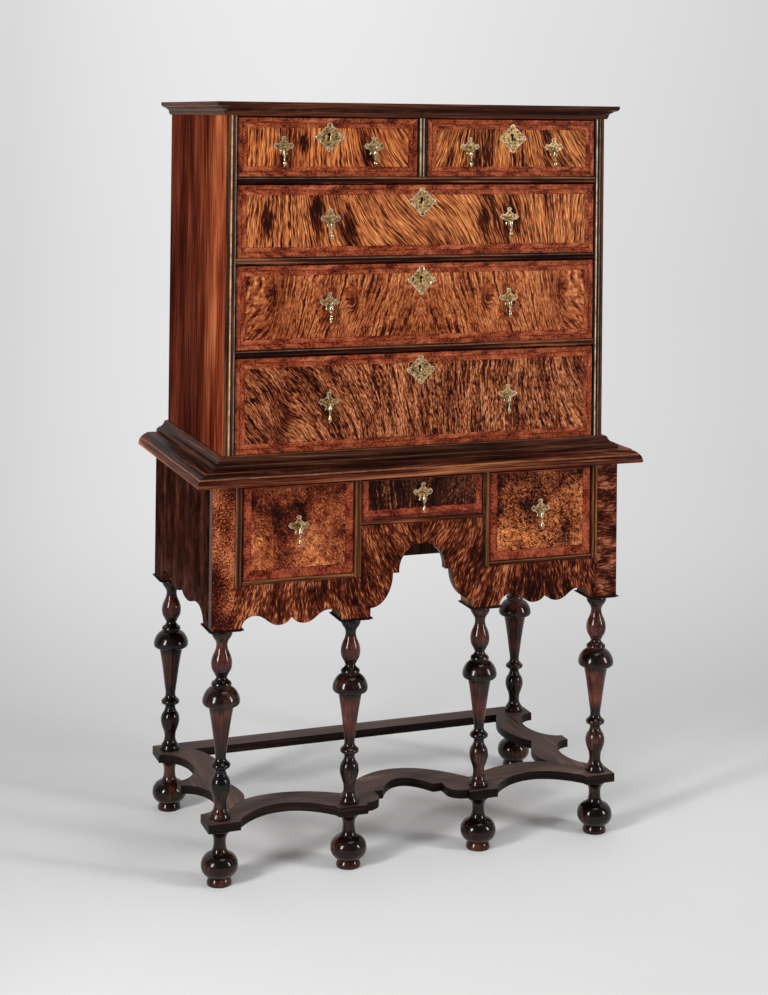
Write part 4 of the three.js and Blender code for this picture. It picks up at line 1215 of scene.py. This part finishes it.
def lower_apron():
    """The front board with its openings, its beads and two blocks behind it."""
    centre = (-CENTRE_OPENING, CENTRE_OPENING)
    openings = [rectangle(*centre, CENTRE_FLOOR, OPENING_TOP)]
    for side in (1, -1):
        openings.append(rectangle(*on_side(side, OPENING_INNER, OPENING_OUTER), SIDE_FLOOR, OPENING_TOP))
    front, back = LOWER_FRONT, LOWER_FRONT + LOWER_BOARD
    outline = both_halves([*skirt_half(), (LOWER_HALF, LOWER_TOP)])
    piece = Piece()
    piece.slab(outline, front_plane, front, back, apron_wood, edge_wood, holes=openings)
    divider = OPENING_INNER - CENTRE_OPENING
    low, high = SIDE_FLOOR - LOWER_BEAD, LOWER_TOP - HAIR
    beads = [(-1, OPENING_OUTER, outer_left_bead), (-1, CENTRE_OPENING, inner_left_bead)]
    beads += [(1, CENTRE_OPENING, inner_right_bead), (1, OPENING_OUTER, outer_right_bead)]
    for side, start, bead_wood in beads:
        upright_bead(piece, *on_side(side, start, start + divider), front, low, high, bead_wood)
    for side in (-1, 1):
        opening = on_side(side, OPENING_INNER, OPENING_OUTER)
        block = on_side(side, INNER_LEG - LEG_IN, INNER_LEG + LEG_IN)
        block_top = CASE_BOTTOM + INNER_BLOCK_HEIGHT
        level_bead(piece, *opening, front, low, SIDE_FLOOR, lower_bead_level)
        piece.box(*block, back - DEEP_LAP, front + PAD, CASE_BOTTOM + HAIR, block_top, runner_wood)
    level_bead(piece, *centre, front, CENTRE_FLOOR - LOWER_BEAD, CENTRE_FLOOR, centre_bead_level)
    piece.make("lower_apron", "case", ["lower_apron"])


def arch_lipping():
    """A thin strip under the arch, proud of the apron's face."""
    right = arch_half().points
    points = [(-a, b) for a, b in reversed(right[1:])] + right
    stations = []
    for index, (a, b) in enumerate(points):
        a0, b0 = points[max(index - 1, 0)]
        a1, b1 = points[min(index + 1, len(points) - 1)]
        length = math.hypot(a1 - a0, b1 - b0)
        normal = ((b0 - b1) / length, (a1 - a0) / length)
        stations.append(
            lambda up, out, a=a, b=b, n=normal: front_plane(a + n[0] * up, b + n[1] * up, LOWER_FRONT - out)
        )
    shoulder = LIP_PROUD * 0.6
    section = [(LIP_LIFT, -LIP_SUNK), (LIP_LIFT, shoulder), (LIP_THICK * 0.3, LIP_PROUD)]
    section += [(LIP_THICK * 0.7, LIP_PROUD), (LIP_THICK, shoulder), (LIP_THICK, -LIP_SUNK)]
    piece = Piece()
    piece.run(section, stations, lipping)
    piece.make("arch_lipping", "case")


def table_board():
    """The board between the cases with its moulded edge."""
    piece = Piece()
    section = profile(table_runs, TABLE_OVERHANG, TABLE_BOTTOM, TABLE_TOP, -LAP)
    carried_round(piece, section, LOWER_HALF, LOWER_FRONT, table_wood)
    low, high = TABLE_BOTTOM + HAIR / 2, TABLE_TOP - HAIR / 2
    piece.box(-LOWER_HALF, LOWER_HALF, LOWER_FRONT, BACK - HAIR, low, high, top_wood)
    piece.make("table_board", "case", ["table_board"])


# Stand: radius and height along each profile
leg_runs = [
    [(0, LEG_BOTTOM), (20.6, LEG_BOTTOM)],
    [(21.8, 134.6), (21.8, 137.6), (20.6, 140)],
    [(19, 143.4), (15.8, 147.8), (13.6, 152), (12.5, 157), (12.3, 162)],
    [
        (12.8, 168), (14.1, 174), (16.4, 180), (18.8, 187), (20.5, 194), (20.9, 200), (20.2, 206),
        (18.2, 212.4), (15.4, 216.6), (13, 220),
    ],
    [(13, 222)],
    [(11.6, 224.6), (11.2, 228), (11.6, 231.6)],
    [(13, 232)],
    [(17, 235)],
    [(19.6, 237), (20.4, 240), (19.6, 243), (17.2, 245.2)],
    [
        (13.8, 248.6), (11.6, 252.6), (11, 257), (11.2, 262), (12, 268.6), (13.7, 280), (15.2, 292),
        (16.7, 304), (18.4, 316), (20.2, 328), (22.1, 340), (24, 350), (25.2, 357),
    ],
    [(25.4, 359.4), (25, 360.8)],
    [
        (31.6, 361.6), (36, 363.6), (38.1, 366.8), (38.6, 370.6), (38.2, 375), (37, 379.4), (35, 384),
        (32.6, 388.2), (29.4, 392.2), (25, 396), (19, 399.4),
    ],
    [(19, 400.6)],
    [(20.6, 402.4), (20.8, 405.4), (19.6, 408.2)],
    [(15.6, 411.2), (12.8, 414.4), (11.3, 417.2), (11, 419.6)],
    [(12.4, 420.8)],
    [
        (14, 424.2), (16, 428), (18.4, 432), (20.1, 436.2), (21.1, 441), (21.5, 446.6), (21.1, 452),
        (20.2, 456.6), (18.6, 461.6), (16.7, 466), (14.7, 470.2), (13, 474.6), (11.9, 479.2), (11.3, 484),
    ],
    [(11.8, 488), (13.2, 492), (15.8, 496), (18.6, 500), (20.4, 503.4)],
    [(21.4, 506), (21.4, 511), (20, 515)],
    [(20, 516)],
]
cap_runs = [
    [(0, LEG_TOP - CAP_THICK), (30.5, LEG_TOP - CAP_THICK)],
    [(31.6, 516.2), (33, 517.4), (34.4, 518.2)],
    [(CAP_HALF, 518.4)],
    [(CAP_HALF, LEG_TOP)],
    [(0, LEG_TOP)],
]
foot_runs = [
    [(0, 0), (25, 0)],
    [(25.5, 2), (25.2, 6), (24, 10), (22.6, 13.6)],
    [
        (24, 14.6), (27.4, 18), (31.6, 22), (34.8, 26), (36.8, 30.4), (37.8, 35), (37.9, 40), (37, 45.6),
        (35.2, 50.4), (32.2, 54.8), (28, 58.8), (22.6, 62),
    ],
    [(20.6, 62.6)],
    [
        (17.2, 65.6), (14.9, 69.6), (13.5, 74.4), (12.7, 80), (12.5, 86), (13, 92), (14.6, 97),
        (17.6, 102), (21.4, 106.6),
    ],
    [(23, 108.6), (23.6, 111.6), (23.2, STRETCHER_BOTTOM - GAP)],
    [(0, STRETCHER_BOTTOM - GAP)],
]


def stand_piece(name, runs, x, y, width=1.0, cap=False):
    """A leg or foot, turned thinner by a share of the width. A leg has a square cap."""
    piece = Piece()
    piece.lathe([scaled(run, width, 1) for run in runs], x, y, turned_wood)
    if cap:
        square = [scaled(run, math.sqrt(2), 1) for run in cap_runs]
        piece.lathe(square, x, y, stretcher_edge, sides=4, turn=math.pi / 4)
    piece.make(name, "case", [name])


def stretcher(name, outline, top):
    piece = Piece()
    piece.slab(outline, plan_plane, STRETCHER_BOTTOM, STRETCHER_TOP, top, stretcher_edge)
    piece.make(name, "case", [name])


def front_stretcher():
    """A bow between the legs on each side, and a deeper one in the middle."""
    inner, outer = INNER_LEG - LEG_IN, INNER_LEG + LEG_IN
    corner = LEG_X - CAP_HALF
    middle = (outer + corner) / 2
    front = LOWER_FRONT
    quirk = front + QUIRK_DEPTH
    bay, centre = front + BAY_DEPTH, front + CENTRE_DEPTH
    shoulder, shoulder_front = inner - SHOULDER_IN, front + SHOULDER_DEPTH
    shoulder_back = shoulder_front + SHOULDER_STEP
    path = Path(0, centre)
    path.from_crest(shoulder - SHOULDER_EASE, shoulder_back, "a")
    path.line((shoulder, shoulder_back), (shoulder, shoulder_front))
    path.quarter(inner, quirk, "b").line((inner, front), (outer, front), (outer + QUIRK_SLANT, quirk))
    path.to_crest(middle, bay, "a").from_crest(corner - QUIRK_SLANT, quirk, "a").line((corner, front))
    path.line((LOWER_HALF - GAP, front), (LOWER_HALF - MITRE_IN - GAP, front + MITRE_DEPTH))
    path.to_crest(middle, bay + STRETCHER_WIDTH, "a").from_crest(INNER_LEG, front + INNER_BACK, "a")
    path.to_crest(0, centre + STRETCHER_WIDTH, "a")
    stretcher("stretcher_front", both_halves(path.points), stretcher_top)


def side_stretcher(name, side):
    """Two bows that meet in a blunt tip, with mitres at both ends."""
    outer = LOWER_HALF
    pad_front, pad_back = LOWER_FRONT + PAD, BACK - PAD
    middle = (pad_front + pad_back) / 2
    tip_front, tip_back = middle - SIDE_TIP, middle + SIDE_TIP
    front_bow, rear_bow = (pad_front + tip_front) / 2, (pad_back + tip_back) / 2
    bow = outer - SIDE_BOW
    inner = bow - STRETCHER_WIDTH
    rear_inner = BACK - BACK_STRETCHER - GAP
    path = Path(outer, LOWER_FRONT + GAP).line((outer, pad_front))
    path.quarter(bow, front_bow, "a").quarter(outer, tip_front, "b").line((outer, tip_back))
    path.quarter(bow, rear_bow, "a").quarter(outer, pad_back, "b")
    path.line((outer, BACK - GAP), (outer - BACK_STRETCHER, rear_inner), (outer - REAR_CORNER, rear_inner))
    path.to_crest(inner, rear_bow, "b").from_crest(outer - SIDE_WAIST, middle, "b")
    path.to_crest(inner, front_bow, "b")
    path.from_crest(outer - MITRE_IN, LOWER_FRONT + MITRE_DEPTH + GAP, "b")
    stretcher(name, scaled(path.points, side, 1), side_stretcher_top)


def back_stretcher():
    front = BACK - BACK_STRETCHER
    half = [(0, front), (LOWER_HALF - BACK_STRETCHER - GAP, front), (LOWER_HALF - GAP, BACK), (0, BACK)]
    stretcher("stretcher_back", both_halves(half), stretcher_top)


# Drawers: outlines as shares of half the width and half the height, from the top down
escutcheon_quarter = [
    (0, 1), (0.1, 0.97), (0.2, 0.88), (0.19, 0.78), (0.17, 0.72), (0.24, 0.71), (0.33, 0.7), (0.36, 0.61),
    (0.44, 0.58), (0.49, 0.49), (0.58, 0.44), (0.61, 0.36), (0.7, 0.33), (0.71, 0.24), (0.72, 0.17),
    (0.78, 0.19), (0.89, 0.2), (0.97, 0.1), (1, 0),
]
escutcheon_half = escutcheon_quarter + [(a, -b) for a, b in reversed(escutcheon_quarter[:-1])]
pull_half = [
    (0, 1), (0.14, 0.99), (0.26, 0.88), (0.21, 0.76), (0.15, 0.66), (0.2, 0.58), (0.26, 0.48), (0.36, 0.4),
    (0.46, 0.3), (0.56, 0.24), (0.66, 0.28), (0.76, 0.36), (0.87, 0.28), (0.93, 0.16), (1.02, 0.04),
    (0.95, -0.1), (0.86, -0.18), (0.74, -0.28), (0.62, -0.24), (0.52, -0.32), (0.44, -0.42), (0.34, -0.52),
    (0.36, -0.66), (0.42, -0.78), (0.32, -0.88), (0.22, -0.76), (0.1, -0.78), (0.08, -0.92), (0, -0.98),
]

# Radius and height of a drop below its staple
drop_runs = [
    [(0, -2), (1.3, -2.4)],
    [
        (1.8, -4), (3, -6.6), (3.9, -9.8), (4.1, -13.4), (3.5, -18), (2.3, -22.4), (1.9, -25.4),
        (2.6, -28.8),
    ],
    [(3.7, -31.6), (4.2, -34.8), (3.5, -37.6)],
    [(3.3, -37.6)],
    [(2, -38.4)],
    [(2.1, -39.6), (1.2, -40.8), (0, -41)],
]


def mirrored(half):
    """A closed outline from its right half."""
    return half + [(-a, b) for a, b in reversed(half[1:-1])]


def keyhole(x, z):
    """A round hole over a slot."""
    start = math.degrees(math.asin(KEYHOLE_SLOT / KEYHOLE_RADIUS)) - 90
    low = z - KEYHOLE_LENGTH
    path = Path(x - KEYHOLE_SLOT, low).line((x + KEYHOLE_SLOT, low))
    return path.arc(x, z, KEYHOLE_RADIUS, start, 180 - start, 20).points


def band_frame(piece, place, y, rings):
    """Crossband strips round a drawer front, mitred at the corners: each ring has its four widths."""
    left, right, low, high = place
    for ring, (widths, material) in enumerate(rings):
        outer = rectangle(left, right, low, high)
        left, right, low, high = left + widths[0], right - widths[1], low + widths[2], high - widths[3]
        inner = rectangle(left, right, low, high)
        for index, points in enumerate(zip(outer, shifted(outer), shifted(inner), inner)):
            if math.dist(points[0], points[3]) + math.dist(points[1], points[2]) < NO_BAND:
                continue
            axis = index % 2
            shift = index * 0.37 + ring * 1.3 + place[0] * 0.01
            strip = [(point[axis] * MM + shift, depth) for point, depth in zip(points, (0, 0, 1, 1))]
            piece.face(placed(points, front_plane, y), material, strip)
    return rectangle(left, right, low, high)


# Widths of each ring of crossbands on the left, the right, the bottom and the top
upper_rings = [((BAND, BAND, BAND, BAND), band_rising), ((BAND, BAND, BAND, BAND), band_falling)]
side_rings = [((17, BASE_BAND, 20, 3), base_band)]
centre_rings = [((0.3, 0.3, DARK_BAND, 0.3), dark_band), ((14, 14, 14, 1), base_band)]


def veneered_board(piece, place, front, back, hole, material, rings):
    """A drawer front with its crossbands, its middle veneer and a keyhole."""
    loops = [band_frame(piece, place, front, rings)]
    if hole:
        loops.append(hole)
    for corners in triangles(loops):
        piece.face(placed(corners, front_plane, front), material)
    if hole:
        floor = placed(hole, front_plane, front + KEYHOLE_DEPTH)
        piece.belts([placed(hole, front_plane, front), floor], keyhole_dark)
        piece.face(floor, keyhole_dark)
    rim = rectangle(*place)
    behind = placed(rim, front_plane, back)
    piece.belts([placed(rim, front_plane, front), behind], edge_wood)
    piece.face(behind, edge_wood)


def staple(piece, x, z, front):
    """A wire that comes out of the front, runs across and goes back in."""
    left, far = x - STAPLE_SPAN / 2, front - STAPLE_REACH
    bend = [(left, front + STAPLE_TAIL), (left, far + STAPLE_CORNER)]
    bend += [(left + STAPLE_EASE, far + STAPLE_EASE), (left + STAPLE_CORNER, far)]
    wire = bend + [(2 * x - a, b) for a, b in reversed(bend)]
    piece.tube([(a, b, z) for a, b in wire], WIRE, brass)


def drawer_front(name, place, plane, pulls, pull_z, keyhole_z=None, rings=upper_rings):
    """A drawer front with its staples and lock, and the brass on it."""
    x0, x1, _, top = place
    front, back = plane + RECESS, plane + RECESS + FRONT_THICKNESS
    body = f"drawer_{name}"
    middle = (x0 + x1) / 2
    hole = keyhole(middle, keyhole_z) if keyhole_z else None
    piece = Piece()
    veneered_board(piece, place, front, back, hole, veneers[name], rings)
    if hole:
        low, high = top - LOCK_DOWN - LOCK_HEIGHT, top - LOCK_DOWN
        lock = (middle - LOCK_HALF, middle + LOCK_HALF, back - LOCK_LET_IN, back + LOCK_OUT, low, high)
        piece.box(*lock, brass)
    for x in pulls:
        staple(piece, x, pull_z, front)
    piece.make(f"{body}_front", body, [f"{body}_front"])
    for index, x in enumerate(pulls):
        outline = mirrored(scaled(pull_half, *PULL_PLATE))
        plate(f"{body}_plate_{index}", body, outline, x, pull_z + PULL_PLATE_LIFT, front)
    if hole:
        outline = mirrored(scaled(escutcheon_half, *ESCUTCHEON))
        centre = (middle + ESCUTCHEON_RIGHT, keyhole_z - ESCUTCHEON_DOWN)
        plate(f"{body}_escutcheon", body, outline, *centre, front, [hole])
    suffixes = ("_left", "_right") if len(pulls) > 1 else ("",)
    for suffix, x in zip(suffixes, pulls):
        drop(f"{body}_drop{suffix}", x, front - STAPLE_REACH, pull_z)


def moved(outline, x, z):
    return [(a + x, b + z) for a, b in outline]


def plate(name, body, outline, x, z, y, holes=()):
    """A lobed brass plate with a raised rim, whose paler brass is partly rubbed wear and partly painted
    highlight.
    """
    edge, inner = moved(outline, x, z), moved(inset(outline, RIM_WIDTH), x, z)
    back, front = y + PLATE_LET_IN, y - PLATE
    piece = Piece()
    piece.slab(edge, front_plane, back, front + RIM_RAISED, brass, holes=holes, rim=PLATE_CHAMFER)
    piece.slab(edge, front_plane, back - HAIR, front, rim_brass_worn_and_highlit, holes=[inner], rim=RIM_CHAMFER)
    piece.make(name, body)


def drop(name, x, y, z):
    """A turned drop that hangs from a round eye on its staple."""
    piece = Piece()
    piece.lathe(drop_runs, x, y, drop_brass, sides=24, lift=z)
    steps, turns = circle(20), 10
    rings = []
    for turn in range(turns + 1):
        over = math.tau * turn / turns
        radius = EYE_MAJOR + EYE_MINOR * math.cos(over)
        side = x + EYE_HALF * math.sin(over)
        rings.append([(side, y + radius * math.cos(t), z + radius * math.sin(t)) for t in steps])
    piece.belts(rings, drop_brass)
    piece.make(name, name, [name])


# The chest
sides = (("left", -1), ("right", 1))
for word, side in sides:
    upper_side(f"upper_{word}_side", side)
upper_bottom_board()
upper_top_board()
for word, (_, ceiling) in zip(("lower", "middle", "upper"), LEVELS):
    rail(f"rail_{word}", ceiling, word == "upper")
for word, side in sides:
    lower_side(f"lower_{word}_side", side)
lower_apron()
table_board()
leg_places = {
    "front_left": (-LEG_X, FRONT_LEG_Y, 1),
    "front_inner_left": (-INNER_LEG, FRONT_LEG_Y, 0.96),
    "front_inner_right": (INNER_LEG, FRONT_LEG_Y, 0.96),
    "front_right": (LEG_X, FRONT_LEG_Y, 1),
    "rear_left": (-LEG_X, REAR_LEG_Y, 1),
    "rear_right": (LEG_X, REAR_LEG_Y, 1),
}
for place, (leg_x, leg_y, leg_width) in leg_places.items():
    stand_piece(f"leg_{place}", leg_runs, leg_x, leg_y, leg_width, cap=True)
    stand_piece(f"foot_{place}", foot_runs, leg_x, leg_y)
front_stretcher()
for word, side in sides:
    side_stretcher(f"stretcher_{word}", side)
back_stretcher()

# Each drawer front: name, place, places of the pulls, their height and the height of the keyhole
wide_pulls = (-203.5, 203.5)
upper_drawers = [
    ("top_left", TOP_LEFT, (-307.75, -109.25), 1498, 1524),
    ("top_right", TOP_RIGHT, (109.25, 307.75), 1498, 1524),
    ("high", HIGH, wide_pulls, 1347.5, 1389),
    ("middle", MIDDLE, wide_pulls, 1174, 1223),
    ("low", LOW, wide_pulls, 967, 1034),
]
for name, place, pulls, pull_z, keyhole_z in upper_drawers:
    drawer_front(name, place, UPPER_FRONT, pulls, pull_z, keyhole_z)
lower_drawers = [
    ("base_left", BASE_LEFT, -273, 720.4, side_rings),
    ("base_right", BASE_RIGHT, 273, 720.4, side_rings),
    ("base_centre", BASE_CENTRE, 0, 772.4, centre_rings),
]
for name, place, pull, pull_z, rings in lower_drawers:
    drawer_front(name, place, LOWER_FRONT, (pull,), pull_z, rings=rings)
arch_lipping()

# Solids that keep their own shape
finishes = {"back_panel": panel_wood, "partition": runner_wood}
for name, node in frame["nodes"].items():
    if node.hide_render:
        continue
    finish = next((wood_of for end, wood_of in finishes.items() if name.endswith(end)), inner_wood)
    node.data.materials.clear()
    node.data.materials.append(finish)


# Stage, light and camera, in metres and degrees
EYE = (-1.4222, BACK * MM - 4.0569, 1.5583)
YAW, PITCH, ROLL = -20.385, 0.679, -0.613
CHEST_AWAY = 4.05
BACKDROP_HALF = 1.15
BACKDROP_TOP = 1.9
STAGE_HALF, STAGE_TOP = 12, 9
STAGE_ROWS = (-6, 0, 3)
SWEEP_START, SWEEP_RADIUS, SWEEP_STEPS = 4.75, 0.9, 24
WIDE_FLOOR, WIDE_FLOOR_DOWN = 90, 0.002
SHADOWS_END, PALE_FROM = (1.9, 3.2), (4.55, 5)

# The lens in pixels of the picture, whose height is the longer side
FOCAL, PICTURE_HEIGHT, CENTRE_ROW = 1819.83, 995, 96.98
SENSOR = 36


def floor_colour(paint):
    """Nearly white, darker towards the sides."""
    value = paint.noise(paint.x * 3, paint.y * 3, paint.z * 3, 2)
    across = paint.x.share(-BACKDROP_HALF, BACKDROP_HALF)
    shading = paint.curve(across, [0.76, 0.85, 0.96, 1, 1, 0.96, 0.9, 0.84])
    plain = paint.ramp(value, (0.3, "#e4e4e4"), (0.7, "#e6e6e6"))
    return paint.mix(shading, "#000000", plain)


def own_paleness(paint):
    """Light of its own that gets stronger with height and weaker towards the sides."""
    height = paint.curve(paint.z.share(0, BACKDROP_TOP), [0.62, 0.76, 0.79, 0.8, 0.8, 0.81, 0.82, 0.83])
    across = paint.x.share(-BACKDROP_HALF, BACKDROP_HALF)
    width = paint.curve(across, [0.84, 0.94, 0.99, 1, 0.96, 0.91, 0.87, 0.81])
    glow = paint.node("Emission")
    paint.feed(glow.inputs["Color"], height * width)
    return glow.outputs[0]


def far_share(paint):
    """0 on the floor near the chest, 1 on the backdrop, far from the chest and on the wide floor."""
    beyond = paint.y - CHEST_AWAY
    away = paint.math("SQRT", paint.x * paint.x + beyond * beyond)
    under = paint.z.share(-WIDE_FLOOR_DOWN / 4, -WIDE_FLOOR_DOWN * 0.75)
    return paint.y.share(*PALE_FROM).at_least(away.share(*SHADOWS_END)).at_least(under)


def backdrop_material():
    """A pale floor that takes shadows near the chest, and keeps its own paleness further off.

    The backdrop is clear from behind, so that views from there see the chest.
    """
    paint = Paint("pale floor", 0.9, 0)
    paint.done(floor_colour(paint))
    glow = own_paleness(paint)
    rays = paint.node("LightPath").outputs
    camera_ray, glossy_ray, clear_ray = [
        Value(paint, rays[f"Is {kind} Ray"]) for kind in ("Camera", "Glossy", "Transmission")
    ]
    seen = camera_ray.at_least(glossy_ray).at_least(clear_ray)
    pale = paint.blend(seen * far_share(paint), paint.shader.outputs[0], glow)
    behind = Value(paint, paint.node("NewGeometry").outputs["Backfacing"])
    clear = paint.node("BsdfTransparent").outputs[0]
    one_sided = paint.blend(behind * camera_ray, pale, clear)
    paint.tree.links.new(one_sided, paint.tree.nodes["Material Output"].inputs[0])
    return paint.material


def stage():
    """A pale floor that curves up into a one-sided backdrop, with a wide floor under and around it.

    The rows on the flat part keep its smooth shading flat.
    """
    line = [(y, 0) for y in (*STAGE_ROWS, SWEEP_START)]
    for step in range(1, SWEEP_STEPS + 1):
        angle = math.radians(90 * step / SWEEP_STEPS)
        out, up = SWEEP_RADIUS * math.sin(angle), SWEEP_RADIUS * math.cos(angle)
        line.append((SWEEP_START + out, SWEEP_RADIUS - up))
    line.append((SWEEP_START + SWEEP_RADIUS, STAGE_TOP))
    mesh = bmesh.new()
    rows = [[mesh.verts.new((x, y, z)) for y, z in line] for x in (-STAGE_HALF, STAGE_HALF)]
    for corners in zip(rows[0], rows[1], rows[1][1:], rows[0][1:]):
        mesh.faces.new(corners).smooth = True
    wide = rectangle(-WIDE_FLOOR, WIDE_FLOOR, -WIDE_FLOOR, WIDE_FLOOR)
    mesh.faces.new([mesh.verts.new((x, y, -WIDE_FLOOR_DOWN)) for x, y in wide])
    data = bpy.data.meshes.new("floor")
    mesh.to_mesh(data)
    mesh.free()
    data.materials.append(backdrop_material())
    floor = bpy.data.objects.new("floor", data)
    floor.location = (EYE[0], EYE[1], 0)
    floor.rotation_euler = (0, 0, math.radians(YAW))
    bpy.context.scene.collection.objects.link(floor)


def lamp(name, place, target, size, power):
    """A rectangular lamp that points at a target."""
    data = bpy.data.lights.new(name, "AREA")
    data.shape = "RECTANGLE"
    data.size, data.size_y = size
    data.energy = power
    light = bpy.data.objects.new(name, data)
    light.location = place
    light.rotation_euler = (Vector(target) - Vector(place)).to_track_quat("-Z", "Y").to_euler()
    bpy.context.scene.collection.objects.link(light)


def world():
    """Dim even light from all round."""
    surroundings = bpy.data.worlds.new("studio")
    surroundings.use_nodes = True
    background = surroundings.node_tree.nodes["Background"]
    background.inputs["Color"].default_value = (1, 1, 1, 1)
    background.inputs["Strength"].default_value = 0.2
    bpy.context.scene.world = surroundings


def camera():
    """The photograph's viewing place, direction and lens."""
    yaw, pitch, roll = math.radians(YAW), math.radians(PITCH), math.radians(ROLL)
    forward = Vector((-math.sin(yaw) * math.cos(pitch), math.cos(yaw) * math.cos(pitch), math.sin(pitch)))
    right = forward.cross(Vector((0, 0, 1))).normalized()
    down = forward.cross(right)
    first = right * math.cos(roll) + down * math.sin(roll)
    second = down * math.cos(roll) - right * math.sin(roll)
    data = bpy.data.cameras.new("camera")
    data.sensor_width = SENSOR
    data.lens = FOCAL / PICTURE_HEIGHT * SENSOR
    data.shift_y = (CENTRE_ROW - PICTURE_HEIGHT / 2) / PICTURE_HEIGHT
    eye = bpy.data.objects.new("camera", data)
    turn = Matrix((first, -second, -forward)).transposed().to_4x4()
    eye.matrix_world = Matrix.Translation(EYE) @ turn
    bpy.context.scene.collection.objects.link(eye)
    bpy.context.scene.camera = eye


stage()
world()
lamp("left", (-3.8, -1.9, 1.9), (0, -0.2, 0.8), (0.6, 2.2), 170)
lamp("right", (3, -2.7, 1.8), (0, -0.2, 0.8), (0.45, 2), 86)
lamp("top", (0.4, -0.7, 4.4), (0, 0, 0), (1.8, 1.8), 40)
camera()
bpy.context.scene.view_settings.view_transform = "Standard"
